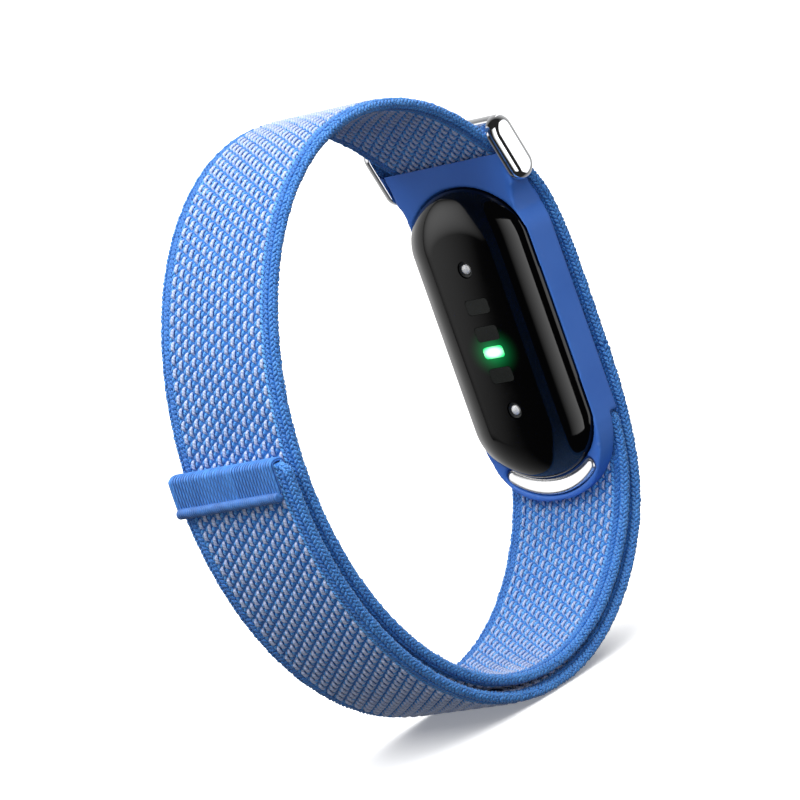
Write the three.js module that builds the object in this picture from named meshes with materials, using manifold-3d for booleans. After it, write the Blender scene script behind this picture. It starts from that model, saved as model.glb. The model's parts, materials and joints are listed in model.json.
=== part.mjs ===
// A fitness tracker band: a woven strap wound once round the wrist, a moulded carrier with a metal
// buckle, and a sealed sensor pod held in the carrier by a press latch.
// Millimetres. Origin at the centre of the wrist opening, +Z along the pod, +X from the wrist out
// through the pod, Y along the wearer's wrist.
import * as THREE from "three";
import { mergeVertices } from "three/addons/utils/BufferGeometryUtils.js";
import Module from "manifold-3d";

const wasm = await Module();
wasm.setup();

// ---------------------------------------------------------------- driving dimensions
const loopWidth = 57.5; // inside the strap's turn, along X
const loopHeight = 72.2; // inside the strap's turn, along Z
const strapWidth = 20;
const strapThickness = 1.5;
const layerGap = 0.7; // between the inner turn and the layer closed over it
const tailTurn = 176; // where the strap ends, degrees round the loop from +X
const tailHingeTurn = -118; // where the tail starts to peel, degrees round the loop from +X
const startMeetsTurn = -46; // where the strap's start joins the inner turn
const lipLeadTurn = 54; // where the inner turn leaves its ellipse for the lip
const outerMeetsTurn = -44; // where the closing layer joins the outer turn
const lipSlope = -42; // the strap's heading over the lip, degrees from +X
const lipInset = 0.5; // the lip's edge inside the cover's rim
const backSlope = -80; // the strap's heading where it comes down behind the pod
const backFall = 0.6; // how far it lies in from its straight run there
const backDrop = 5.5; // from the pod's end down to there
const middleDrop = 3; // from the pod's middle down to the straight run's middle
const startProud = 0.25; // the start's outer face over the carrier's back edge

const podLength = 39.3;
const podWidth = 19.4;
const podThickness = 7;
const podInset = 9.75; // how far the pod's wrist face stands inside the loop's width
const podCentreZ = 1.15;
const podEndLength = 7.7; // length of each rounded end of the pod
const coverRise = 3.2; // the cover's height over the carrier
const coverEdgeSpread = 5.2; // how far in from its edge the cover is rounded
const coverRimHeight = 0.45; // the straight edge under the rounded one
const coverSkin = 1;
const coverWall = 2.6;
const baseInset = 1.2; // the base's outline inside the cover's
const baseWall = 0.8;
const baseChamfer = 1.1;
const gasketThickness = 0.3;

const rimSeatDepth = 0.2; // the cover's rim sunk in the carrier's face
const rimMargin = 0.35; // the carrier's outline outside the cover's
const carrierFloor = 1.8;
const heelFloor = 0.8; // the carrier between the pod's cut-away heel and the strap's start
const carrierCrown = 1.2; // how far the carrier's back falls from its middle to its edges
const crownFlat = 0.15; // how much of the crown the strap's straight run flattens
const carrierFaceRadius = 365; // the front face's long curve round the wrist
const carrierTopLength = 3.4; // from the pod's end to the lip
const carrierBottomLength = 3.2; // from the pod's end to the carrier's end
const carrierEndPower = 2.5; // fullness of the rounded lower end
const shoulderPull = [0.1, 0.9]; // how the flare from waist to shoulder is drawn in, along Y and Z
const shoulderDrop = 4.3; // from the lip down to the shoulders
const waistDrop = 7.8; // from the lip down to the waist under the shoulders
const strapStartDrop = 13.6; // from the pod's middle down to the strap's start
const heelSlope = [3, 0.6]; // where the pod's cut-away heel starts and ends above the strap's start

const barRadius = 1;
const barGap = 0.35; // between the bar and the strap that passes under it
const barLead = 2.1; // how far before the lip the strap meets the bar
const cheekThickness = 1.5;
const cheekRadius = 2.1;
const buckleSideGap = 0.3; // between the strap's edge and the cheek
const cheekTopInset = 0.2; // the cheek's upper centre inside the bar's
const cheekLowOffset = 1.3; // its lower centre outside the cover's rim
const cheekLowDrop = 2.3; // and below the lip
const barLetIn = 0.5; // how far the bar's ends stop inside the cheeks' faces
const pinRadius = 0.5;
const pinOutset = 0.6; // the pin outside the cover's rim
const pinDrop = 2.3; // the pin below the lip
const pinDepth = 0.9; // into each cheek

const latchWidth = 2.1; // across the crescent's middle
const latchTipLoss = 0.35; // how much narrower its tips are
const latchSpread = 38; // degrees of the pod's end that it hugs, each way
const latchThickness = 0.7;
const latchProud = 0.2; // its face over the carrier's
const latchTravel = 0.3;
const latchSpringThickness = 0.12;
const latchSpringLength = 6;

const tapeLength = 34;
const tapeThickness = 0.45;
const tapeMargin = 2.5; // from the tape's side to the strap's
const tabLength = 3.2;
const tabThickness = 0.5;
const tabInnerLength = 2.2;
const tabNearMargin = 1.9; // the near selvage stays bare beside the tab
const pipingRadius = 0.65;

const contactRadius = 0.65;
const contactSpacing = 19.2;
const contactDepth = 0.1; // its end below the wrist face
const collarDepth = 0.3;
const collarWidth = 0.45;
const ledSize = [3.4, 1.5]; // along Y and Z
const ledFromMiddle = -1.6; // from the pod's middle along Z
const windowSize = [3.8, 2];
const windowsFromMiddle = [4.6, 0.95, -4.7];
const sensorCornerRadius = 0.5;

const boardDepth = 1; // the board's wrist side below the cover's rim
const boardThickness = 0.7;
const screwNotchRadius = 1.1;
const chipCorner = 0.15;
const chipMargin = 0.6; // from a chip to the board's side
const batterySideGap = 3.4; // from the pod's side to the battery's
const batteryEndGap = 9.65; // from the pod's end to the battery's
const batteryFromMiddle = 1.2; // from the pod's middle along Z
const batteryGap = 0.3;
const guardBoardHeight = 1.6;
const batteryThickness = 2.1;
const batteryCorner = 0.8;
const guardBoardInset = 1.5; // from the battery's side to the guard board's
const guardBoardThickness = 0.8;
const motorRadius = 2.4;
const motorThickness = 1.9;
const baffleWall = 0.8;
const antennaWidth = 0.8;
const antennaThickness = 0.25;
const antennaStandoff = 0.35; // between the antenna and the board
const emitterThickness = 0.5;
const emitterSize = [2.2, 1.1]; // along Y and Z
const photodiodeSize = [2.8, 1.4];
const chips = [
  { name: "processor_chip", size: [3.2, 3.2], side: -1, up: 7.2, thickness: 0.6 },
  { name: "radio_chip", size: [2.6, 2.6], side: 1, up: 7.2, thickness: 0.5 },
  { name: "motion_sensor_chip", size: [2, 2], side: 1, up: -9.2, thickness: 0.5 },
  { name: "memory_chip", size: [2.4, 3], side: -1, up: -8.7, thickness: 0.5 },
];

// ---------------------------------------------------------------- clearances
const looseFit = 0.3; // soft pieces and pieces shaped by a neighbour
const slidingFit = 0.15; // pieces that move in a seat
const strapFit = 0.2; // between the strap and what it lies on
const setFit = 0.05; // pieces bonded in a seat

// ---------------------------------------------------------------- places worked out from those
const beyond = 1; // how far a cutting body runs past what it cuts
const podFaceX = loopWidth / 2 - podInset;
const podRimX = podFaceX + coverRise;
const podBackX = podFaceX + podThickness;
const podTopZ = podCentreZ + podLength / 2;
const podBottomZ = podCentreZ - podLength / 2;
const carrierFaceX = podRimX - rimSeatDepth;
const carrierBackX = podBackX + carrierFloor;
const lipZ = podTopZ + carrierTopLength;
const headHalf = strapWidth / 2 + buckleSideGap;
const carrierHalf = podWidth / 2 + rimMargin;
const carrierReach = Math.max(headHalf, carrierHalf) + beyond;
const carrierBottomZ = podBottomZ - carrierBottomLength;
const startX = carrierBackX - carrierCrown + startProud - strapThickness / 2;
const startZ = podCentreZ - strapStartDrop;
const overX = carrierBackX + strapFit + strapThickness / 2;
const cheekInner = headHalf + setFit;
const gasketX = podRimX + setFit;
const baseRimX = gasketX + gasketThickness + setFit;
const boardX = podRimX - boardDepth;
const batteryX = baseRimX + looseFit;
const coverEdgeRise = coverRise - coverRimHeight;
const batterySize = [podWidth - 2 * batterySideGap, podLength - 2 * batteryEndGap]; // along Y and Z
const boardHalf = podWidth / 2 - coverWall - looseFit;
const halfStrap = strapThickness / 2;

// ---------------------------------------------------------------- materials
const finish = (color, roughness, metalness) =>
  new THREE.MeshStandardMaterial({ color, roughness, metalness });

const BLUE_WEAVE = [0x4f86cf, 0.9, 0];
const BLUE_TAPE = [0x1f4f9e, 0.95, 0];
const BLUE_RIBBON = [0x3f74c0, 0.8, 0];
const BLUE_PLASTIC = [0x3f6ec2, 0.45, 0];
const CHROME = [0xe8e8ea, 0.08, 1];
const STEEL = [0xb4b6b8, 0.35, 1];
const BLACK_GLOSS = [0x08090a, 0.08, 0];
const BLACK_MATTE = [0x141516, 0.6, 0];
const RUBBER = [0x1c1c1d, 0.9, 0];
const SMOKED = [0x1a1c1b, 0.15, 0];
const GREEN_LIT = [0x8ff5b4, 0.3, 0];
const BOARD_GREEN = [0x14502c, 0.5, 0];
const CHIP_BLACK = [0x0c0c0d, 0.4, 0];
const FOIL = [0xa9adb2, 0.4, 1];

// ---------------------------------------------------------------- shape helpers
const AXIS_X = new THREE.Vector3(1, 0, 0);
const AXIS_Y = new THREE.Vector3(0, 1, 0);
const AXIS_Z = new THREE.Vector3(0, 0, 1);
const cornerSteps = 3;
const circleSteps = 20;
const outlineSteps = 48;
const stripStep = 1.6;
const foldStep = 0.8;

// A shape drawn in (y, z), pushed from one X to another.
function pushX(shape, from, to) {
  const geometry = pushZ(shape, 0, to - from);
  geometry.applyMatrix4(new THREE.Matrix4().makeBasis(AXIS_Y, AXIS_Z, AXIS_X));
  return geometry.translate(from, 0, 0);
}

// A shape drawn in (x, z), pushed from one Y to another.
function pushY(shape, from, to) {
  const geometry = pushZ(shape, 0, to - from);
  geometry.applyMatrix4(new THREE.Matrix4().makeBasis(AXIS_X, AXIS_Z, AXIS_Y.clone().negate()));
  return geometry.translate(0, to, 0);
}

// A shape drawn in (x, y), pushed from one Z to another.
function pushZ(shape, from, to) {
  const settings = { depth: to - from, bevelEnabled: false };
  return new THREE.ExtrudeGeometry(shape, settings).translate(0, 0, from);
}

function solidOf(geometry) {
  const bare = geometry.index ? geometry.toNonIndexed() : geometry.clone();
  bare.deleteAttribute("normal");
  bare.deleteAttribute("uv");
  const merged = mergeVertices(bare, 1e-4);
  return new wasm.Manifold(
    new wasm.Mesh({
      numProp: 3,
      vertProperties: merged.attributes.position.array,
      triVerts: new Uint32Array(merged.index.array),
    }),
  );
}

function geometryOf(solid) {
  const mesh = solid.getMesh();
  const geometry = new THREE.BufferGeometry();
  geometry.setAttribute("position", new THREE.BufferAttribute(mesh.vertProperties, 3));
  geometry.setIndex(new THREE.BufferAttribute(mesh.triVerts, 1));
  geometry.computeVertexNormals();
  return geometry;
}

function cut(geometry, ...tools) {
  return geometryOf(tools.reduce((solid, tool) => solid.subtract(solidOf(tool)), solidOf(geometry)));
}

function join(geometry, ...others) {
  return geometryOf(others.reduce((solid, other) => solid.add(solidOf(other)), solidOf(geometry)));
}

function common(geometry, ...others) {
  return geometryOf(others.reduce((solid, other) => solid.intersect(solidOf(other)), solidOf(geometry)));
}

// Points of an arc round a centre, both ends included.
function arcPoints(centreU, centreV, radius, from, to, steps) {
  return Array.from({ length: steps + 1 }, (_, i) => {
    const turn = from + ((to - from) * i) / steps;
    return new THREE.Vector2(centreU + radius * Math.cos(turn), centreV + radius * Math.sin(turn));
  });
}

function roundedRectangle(width, height, radius, centreU = 0, centreV = 0) {
  const quarterTurn = Math.PI / 2;
  const corners = [[1, 1], [-1, 1], [-1, -1], [1, -1]].flatMap(([right, up], k) => {
    const u = centreU + right * (width / 2 - radius);
    const v = centreV + up * (height / 2 - radius);
    return arcPoints(u, v, radius, k * quarterTurn, (k + 1) * quarterTurn, cornerSteps);
  });
  return new THREE.Shape(corners);
}

function circle(radius, centreU = 0, centreV = 0) {
  return new THREE.Shape(arcPoints(centreU, centreV, radius, 0, 2 * Math.PI, circleSteps).slice(1));
}

// A point of one rounded end of the pod's outline, inset from the cover's edge. The end is 1 for the
// upper one and -1 for the lower one, and the turn runs from +Y.
function podPoint(end, turn, inset) {
  const straight = podLength / 2 - podEndLength;
  const y = (podWidth / 2 - inset) * Math.cos(turn);
  const z = (podEndLength - inset) * Math.sin(turn) + end * straight;
  return new THREE.Vector2(y, podCentreZ + z);
}

function podOutline(inset) {
  const half = outlineSteps / 2;
  const shares = Array.from({ length: half + 1 }, (_, i) => (Math.PI * i) / half);
  const upper = shares.map((turn) => podPoint(1, turn, inset));
  const lower = shares.map((turn) => podPoint(-1, Math.PI + turn, inset));
  return [...upper, ...lower];
}

// A closed skin over rings that hold the same number of points, listed from high X to low X.
function loft(rings) {
  const count = rings[0].points.length;
  const positions = [];
  const corner = (ring, i) => {
    const point = ring.points[(i + count) % count];
    return [ring.x, point.x, point.y];
  };
  const middle = (ring) => [ring.x, 0, podCentreZ];
  rings.slice(1).forEach((low, k) => {
    const high = rings[k];
    for (let i = 0; i < count; i += 1) {
      positions.push(...corner(high, i), ...corner(low, i), ...corner(low, i + 1));
      positions.push(...corner(high, i), ...corner(low, i + 1), ...corner(high, i + 1));
    }
  });
  const [top, bottom] = [rings[0], rings[rings.length - 1]];
  for (let i = 0; i < count; i += 1) {
    positions.push(...middle(top), ...corner(top, i), ...corner(top, i + 1));
    positions.push(...middle(bottom), ...corner(bottom, i + 1), ...corner(bottom, i));
  }
  const geometry = new THREE.BufferGeometry();
  geometry.setAttribute("position", new THREE.Float32BufferAttribute(positions, 3));
  return geometry;
}

// ---------------------------------------------------------------- the strap's route, in (x, z)
const innerLoop = [(loopWidth + strapThickness) / 2, (loopHeight + strapThickness) / 2];
const outerLoop = innerLoop.map((half) => half + strapThickness + layerGap);
const radians = THREE.MathUtils.degToRad;

function loopPoint(loop, turn) {
  return new THREE.Vector2(loop[0] * Math.cos(turn), loop[1] * Math.sin(turn));
}

// The way the strap runs at that turn: clockwise, with the wrist on its right.
function loopHeading(loop, turn) {
  return new THREE.Vector2(loop[0] * Math.sin(turn), -loop[1] * Math.cos(turn)).normalize();
}

// A smooth bend from one point and heading to another.
function bendTo(path, from, fromHeading, to, toHeading) {
  const reach = from.distanceTo(to) / 3;
  const first = from.clone().addScaledVector(fromHeading, reach);
  const second = to.clone().addScaledVector(toHeading, -reach);
  path.bezierCurveTo(first.x, first.y, second.x, second.y, to.x, to.y);
}

// A unit vector in (x, z), by its turn from +X in degrees.
function direction(degrees) {
  return new THREE.Vector2(1, 0).rotateAround(new THREE.Vector2(), radians(degrees));
}

function onLoop(loop, degrees) {
  const turn = radians(degrees);
  return { turn, point: loopPoint(loop, turn), heading: loopHeading(loop, turn) };
}

// The route's named stations, each a point and a heading.
function stations() {
  const down = direction(-90);
  const lipEdge = new THREE.Vector2(podRimX - lipInset, lipZ);
  const lipPoint = lipEdge.addScaledVector(direction(lipSlope + 90), halfStrap + strapFit);
  return {
    start: { point: new THREE.Vector2(startX, startZ), heading: down },
    leave: onLoop(innerLoop, startMeetsTurn),
    rise: onLoop(innerLoop, lipLeadTurn),
    lip: { point: lipPoint, heading: direction(lipSlope) },
    back: { point: new THREE.Vector2(overX - backFall, podTopZ - backDrop), heading: direction(backSlope) },
    middle: { point: new THREE.Vector2(overX, podCentreZ - middleDrop), heading: down },
    close: onLoop(outerLoop, outerMeetsTurn),
  };
}

function makeRoute() {
  const at = stations();
  const path = new THREE.Path();
  path.moveTo(at.start.point.x, at.start.point.y);
  bendTo(path, at.start.point, at.start.heading, at.leave.point, at.leave.heading);
  path.absellipse(0, 0, innerLoop[0], innerLoop[1], at.leave.turn, at.rise.turn, true);
  bendTo(path, at.rise.point, at.rise.heading, at.lip.point, at.lip.heading);
  bendTo(path, at.lip.point, at.lip.heading, at.back.point, at.back.heading);
  bendTo(path, at.back.point, at.back.heading, at.middle.point, at.middle.heading);
  bendTo(path, at.middle.point, at.middle.heading, at.close.point, at.close.heading);
  path.absellipse(0, 0, outerLoop[0], outerLoop[1], at.close.turn, radians(tailTurn), true);
  path.arcLengthDivisions = 2000;
  return path;
}

const route = makeRoute();
const routeLength = route.getLength();

// The distance along the route that comes nearest a point, between two shares of its length.
function distanceNear(point, fromShare, toShare) {
  const count = 2000;
  let best = { gap: Infinity, share: fromShare };
  for (let i = 0; i <= count; i += 1) {
    const share = fromShare + ((toShare - fromShare) * i) / count;
    const gap = route.getPointAt(share).distanceTo(point);
    if (gap < best.gap) best = { gap, share };
  }
  return best.share * routeLength;
}

// A point beside the route: positive offsets are on the outside of the loop.
function beside(distance, offset) {
  const share = THREE.MathUtils.clamp(distance / routeLength, 0, 1);
  const point = route.getPointAt(share);
  const heading = route.getTangentAt(share);
  const past = distance - share * routeLength;
  return new THREE.Vector2(
    point.x - heading.y * offset + heading.x * past,
    point.y + heading.x * offset + heading.y * past,
  );
}

// The side view of a strip that follows the route from one distance to another.
function stripShape(from, to, inner, outer, step = stripStep) {
  const count = Math.max(2, Math.ceil((to - from) / step));
  const distances = Array.from({ length: count + 1 }, (_, i) => from + ((to - from) * i) / count);
  const outside = distances.map((distance) => beside(distance, outer));
  const inside = distances.map((distance) => beside(distance, inner)).reverse();
  return new THREE.Shape([...outside, ...inside]);
}

const lipDistance = distanceNear(stations().lip.point, 0.3, 0.8);
const hingeDistance = distanceNear(loopPoint(outerLoop, radians(tailHingeTurn)), 0.6, 1);
const coveredDistance = distanceNear(new THREE.Vector2(overX, startZ), 0.4, 0.9);

// ---------------------------------------------------------------- strap pieces
function strapMain() {
  const strip = stripShape(0, hingeDistance - looseFit / 2, -halfStrap, halfStrap);
  return pushY(strip, -strapWidth / 2, strapWidth / 2);
}

function strapTail() {
  const strip = stripShape(hingeDistance + looseFit / 2, routeLength, -halfStrap, halfStrap);
  return pushY(strip, -strapWidth / 2, strapWidth / 2);
}

function hookTape() {
  const top = -halfStrap - setFit;
  const end = routeLength - tabInnerLength - looseFit;
  const strip = stripShape(end - tapeLength, end, top - tapeThickness, top);
  return pushY(strip, -strapWidth / 2 + tapeMargin, strapWidth / 2 - tapeMargin);
}

// The ribbon folded round the strap's cut end.
function pullTab() {
  const far = strapWidth / 2;
  const near = -strapWidth / 2 + tabNearMargin;
  const outer = halfStrap + setFit;
  const inner = -halfStrap - setFit;
  const foldEnd = routeLength + setFit + tabThickness;
  const [low, high] = [inner - tapeThickness, outer + tabThickness];
  const outerLeg = stripShape(routeLength - tabLength, foldEnd, outer, high, foldStep);
  const fold = stripShape(routeLength + setFit, foldEnd, low, high, foldStep);
  const innerLeg = stripShape(routeLength - tabInnerLength, foldEnd, low, inner, foldStep);
  return join(pushY(outerLeg, near, far), pushY(fold, near, far), pushY(innerLeg, near, far));
}

function tabPiping() {
  const centre = beside(routeLength - tabLength - pipingRadius - setFit, halfStrap + setFit + pipingRadius);
  const near = -strapWidth / 2 + tabNearMargin;
  return pushY(circle(pipingRadius, centre.x, centre.y), near, strapWidth / 2 - looseFit);
}

// ---------------------------------------------------------------- carrier and buckle
// The carrier's rounded lower end, from its middle out to the side.
function lowerEnd() {
  const straightZ = podBottomZ + podEndLength;
  const endLength = straightZ - carrierBottomZ;
  const power = 2 / carrierEndPower;
  const steps = 14;
  return Array.from({ length: steps + 1 }, (_, i) => {
    const turn = (Math.PI / 2) * (i / steps);
    const y = carrierHalf * Math.sin(turn) ** power;
    return new THREE.Vector2(y, straightZ - endLength * Math.cos(turn) ** power);
  });
}

// The side round the pod's upper end, as far as the waist.
function upperSide() {
  const steps = 24;
  const turns = Array.from({ length: steps + 1 }, (_, i) => (Math.PI / 2) * (i / steps));
  const points = turns.map((turn) => podPoint(1, turn, -rimMargin));
  return points.filter((point) => point.y < lipZ - waistDrop);
}

// The flare from the waist out to the shoulder.
function shoulderFlare(waist) {
  const shoulder = new THREE.Vector2(headHalf, lipZ - shoulderDrop);
  const pull = new THREE.Vector2(waist.x - shoulderPull[0], shoulder.y - shoulderPull[1]);
  return new THREE.QuadraticBezierCurve(waist, pull, shoulder).getPoints(6).slice(1);
}

// The carrier seen from the wrist: one side runs up, and the other mirrors it.
function carrierPlan() {
  const side = [...lowerEnd(), ...upperSide()];
  side.push(...shoulderFlare(side[side.length - 1]), new THREE.Vector2(headHalf, lipZ + beyond));
  const mirrored = side.slice(1).map((point) => new THREE.Vector2(-point.x, point.y)).reverse();
  return new THREE.Shape([...side, ...mirrored]);
}

function carrierFrontAt(z) {
  return carrierFaceX - (z - podCentreZ) ** 2 / (2 * carrierFaceRadius);
}

// The carrier seen along the wrist: its back lies against the strap all the way.
function carrierProfile() {
  const inside = -halfStrap - strapFit;
  const span = (count, from, to, pointAt) =>
    Array.from({ length: count + 1 }, (_, i) => pointAt(from + ((to - from) * i) / count));
  const front = span(16, carrierBottomZ - beyond / 2, lipZ, (z) => new THREE.Vector2(carrierFrontAt(z), z));
  const back = span(26, lipDistance, coveredDistance, (distance) => beside(distance, inside)).slice(1);
  const bottomRun = startZ - carrierBottomZ + beyond;
  const bottom = span(10, -looseFit, bottomRun, (distance) => beside(distance, inside));
  return new THREE.Shape([...front, ...back, ...bottom]);
}

// The carrier seen along the pod: a flat front and a crowned back.
function carrierSection() {
  const half = carrierReach;
  const fall = carrierCrown * (half / carrierHalf) ** 2;
  const crown = carrierBackX + crownFlat;
  const steps = 8;
  const back = Array.from({ length: steps + 1 }, (_, i) => {
    const y = half * ((2 * i) / steps - 1);
    return new THREE.Vector2(crown - (fall + crownFlat) * (y / half) ** 2, y);
  });
  const frontX = podFaceX - beyond;
  return new THREE.Shape([new THREE.Vector2(frontX, -half), ...back, new THREE.Vector2(frontX, half)]);
}

// The space that the pod's cover and base take in the carrier.
function podSeat() {
  const rim = [podRimX + setFit, podFaceX - beyond].map((x) => ({ x, points: podOutline(-slidingFit) }));
  const well = baseRings(podRimX - beyond, slidingFit);
  return { rim: loft(rim), well: cut(loft(well), podHeelCut(slidingFit)) };
}

// The pod's back is cut away at its lower end, where the strap starts behind the carrier.
function podHeelCut(clearance) {
  const heelX = startX - halfStrap - strapFit - heelFloor + clearance;
  const farX = podBackX + 5 * beyond;
  const slopeTop = startZ + heelSlope[0] - clearance;
  const slopeFoot = startZ + heelSlope[1] - clearance;
  const lowZ = podBottomZ - 3 * beyond;
  const shape = new THREE.Shape([
    new THREE.Vector2(podBackX + beyond + clearance, slopeTop),
    new THREE.Vector2(heelX, slopeFoot),
    new THREE.Vector2(heelX, lowZ),
    new THREE.Vector2(farX, lowZ),
    new THREE.Vector2(farX, slopeTop),
  ]);
  return pushY(shape, -podWidth, podWidth);
}

// The latch's crescent, grown by a clearance. Its inner edge stands off the cover by the gap.
function crescent(grow, gap) {
  const steps = 20;
  const shares = Array.from({ length: steps + 1 }, (_, i) => (2 * i) / steps - 1);
  const at = (share, reach) => podPoint(-1, radians(-90 + latchSpread * share), -reach);
  const outer = shares.map((share) => at(share, looseFit + latchWidth - latchTipLoss * share ** 2 + grow));
  const inner = shares.map((share) => at(share, gap)).reverse();
  const middle = inner[0].clone().add(outer[steps]).multiplyScalar(0.5);
  const spoke = outer[steps].clone().sub(middle);
  const turns = [1, 2, 3, 4, 5].map((k) => (k * Math.PI) / 6);
  const farTip = turns.map((turn) => spoke.clone().rotateAround(new THREE.Vector2(), turn).add(middle));
  const nearTip = farTip.map((point) => new THREE.Vector2(-point.x, point.y)).reverse();
  return new THREE.Shape([...outer, ...farTip, ...inner, ...nearTip]);
}

const latchFaceX = carrierFrontAt(podBottomZ) - latchProud;
const latchBackX = latchFaceX + latchThickness;
const latchFloorX = latchBackX + latchTravel + latchSpringThickness + 2 * setFit;

function barCentre() {
  return beside(lipDistance - barLead, halfStrap + barGap + barRadius);
}

function pinCentre() {
  return new THREE.Vector2(podRimX + pinOutset, lipZ - pinDrop);
}

function carrier() {
  const lowZ = carrierBottomZ - beyond;
  const block = common(
    pushX(carrierPlan(), podFaceX, overX + beyond),
    pushY(carrierProfile(), -carrierReach, carrierReach),
    pushZ(carrierSection(), lowZ, lipZ + beyond),
  );
  const seat = podSeat();
  const pin = pinCentre();
  return cut(
    block,
    seat.rim,
    seat.well,
    pushX(crescent(slidingFit, -slidingFit), podFaceX, latchFloorX),
    pushY(circle(pinRadius + setFit, pin.x, pin.y), -headHalf - beyond, headHalf + beyond),
  );
}

function cheekShape() {
  const bar = barCentre();
  const top = new THREE.Vector2(bar.x - cheekTopInset, bar.y - (cheekRadius - barRadius));
  const bottom = new THREE.Vector2(podRimX + cheekLowOffset, lipZ - cheekLowDrop);
  const axis = top.clone().sub(bottom);
  const lean = axis.angle();
  return new THREE.Shape([
    ...arcPoints(top.x, top.y, cheekRadius, lean - Math.PI / 2, lean + Math.PI / 2, circleSteps / 2),
    ...arcPoints(bottom.x, bottom.y, cheekRadius, lean + Math.PI / 2, lean + 1.5 * Math.PI, circleSteps / 2),
  ]);
}

function buckleFrame() {
  const bar = barCentre();
  const pin = pinCentre();
  const outer = cheekInner + cheekThickness;
  const bore = circle(pinRadius + setFit, pin.x, pin.y);
  const frame = join(
    pushY(circle(barRadius, bar.x, bar.y), -outer + barLetIn, outer - barLetIn),
    pushY(cheekShape(), -outer, -cheekInner),
    pushY(cheekShape(), cheekInner, outer),
  );
  return cut(frame, pushY(bore, -cheekInner - pinDepth, cheekInner + pinDepth));
}

function bucklePin() {
  const pin = pinCentre();
  const half = cheekInner + pinDepth - setFit;
  return pushY(circle(pinRadius, pin.x, pin.y), -half, half);
}

function releaseLatch() {
  return pushX(crescent(0, looseFit), latchFaceX, latchBackX);
}

// A flat spring strip under the latch, drawn in its pressed form.
function latchSpring() {
  const height = latchWidth / 2;
  const middleZ = podBottomZ - looseFit - latchWidth / 2;
  const strip = roundedRectangle(latchSpringLength, height, height / 3, 0, middleZ);
  return pushX(strip, latchFloorX - setFit - latchSpringThickness, latchFloorX - setFit);
}

// ---------------------------------------------------------------- pod
// Rings of the cover: full at the rim, drawn in towards the wrist face on a quarter of an ellipse.
function coverRings() {
  const steps = 10;
  const rings = [{ x: podRimX, points: podOutline(0) }];
  for (let i = 0; i <= steps; i += 1) {
    const turn = (Math.PI / 2) * (i / steps);
    rings.push({
      x: podFaceX + coverEdgeRise * (1 - Math.sin(turn)),
      points: podOutline(coverEdgeSpread * (1 - Math.cos(turn))),
    });
  }
  return rings;
}

function sensorShapes(grow) {
  const grown = (size) => size.map((side) => side + 2 * grow);
  const led = grown(ledSize);
  const windows = windowsFromMiddle.map((z) => {
    const [width, height] = grown(windowSize);
    return roundedRectangle(width, height, sensorCornerRadius, 0, podCentreZ + z);
  });
  return {
    led: roundedRectangle(led[0], led[1], sensorCornerRadius, 0, podCentreZ + ledFromMiddle),
    windows,
  };
}

const contactPlaces = [contactSpacing / 2, -contactSpacing / 2].map((z) => podCentreZ + z);

function wristCover() {
  const outside = loft(coverRings());
  const hollow = loft([
    { x: podRimX + beyond, points: podOutline(coverWall) },
    { x: podFaceX + coverSkin, points: podOutline(coverWall) },
  ]);
  const sensors = sensorShapes(setFit);
  const wells = contactPlaces.map((z) => circle(contactRadius + collarWidth + setFit, 0, z));
  const through = [sensors.led, ...sensors.windows, ...wells].map((shape) =>
    pushX(shape, podFaceX - beyond, podFaceX + coverSkin + beyond),
  );
  return cut(outside, hollow, ...through);
}

// Rings of the pod's base from its chamfered back to a rim, grown by a clearance.
function baseRings(rimX, grow) {
  return [
    { x: podBackX + grow, points: podOutline(baseInset + baseChamfer - grow) },
    { x: podBackX - baseChamfer + grow, points: podOutline(baseInset - grow) },
    { x: rimX, points: podOutline(baseInset - grow) },
  ];
}

function podBase() {
  const outside = loft(baseRings(baseRimX, 0));
  const hollow = loft([
    { x: podBackX - baseWall, points: podOutline(baseInset + baseChamfer + baseWall) },
    { x: podBackX - baseChamfer - baseWall / 2, points: podOutline(baseInset + baseWall) },
    { x: baseRimX - beyond, points: podOutline(baseInset + baseWall) },
  ]);
  const heel = podHeelCut(0);
  const innerHeel = cut(hollow, heel.clone().translate(-baseWall, 0, baseWall));
  return cut(outside, innerHeel, heel);
}

function coverGasket() {
  const slab = (inset, margin) => {
    const levels = [gasketX + gasketThickness + margin, gasketX - margin];
    return loft(levels.map((x) => ({ x, points: podOutline(inset) })));
  };
  return cut(slab(baseInset, 0), slab(baseInset + baseWall, beyond));
}

function contactCollar(z) {
  const ring = pushX(circle(contactRadius + collarWidth, 0, z), podFaceX + collarDepth, podFaceX + coverSkin);
  return cut(ring, pushX(circle(contactRadius + setFit, 0, z), podFaceX, podFaceX + coverSkin + beyond));
}

function contact(z) {
  return pushX(circle(contactRadius, 0, z), podFaceX + contactDepth, boardX - setFit);
}

function sensorLens(shape) {
  return pushX(shape, podFaceX, podFaceX + coverSkin);
}

function boardOutline(inset = 0) {
  return podOutline(podWidth / 2 - boardHalf + inset);
}

function mainBoard() {
  const notch = circle(screwNotchRadius, 0, podTopZ - coverWall - looseFit);
  return cut(
    pushX(new THREE.Shape(boardOutline()), boardX, boardX + boardThickness),
    pushX(notch, boardX - beyond, boardX + boardThickness + beyond),
  );
}

// A part on the board's wrist side, at a distance from the pod's middle along Y and Z.
function mounted([width, height], y, z, thickness) {
  const shape = roundedRectangle(width, height, chipCorner, y, podCentreZ + z);
  return pushX(shape, boardX - setFit - thickness, boardX - setFit);
}

// A chip beside the board's edge on one side.
function chip({ size, side, up, thickness }) {
  return mounted(size, side * (boardHalf - chipMargin - size[0] / 2), up, thickness);
}

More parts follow.
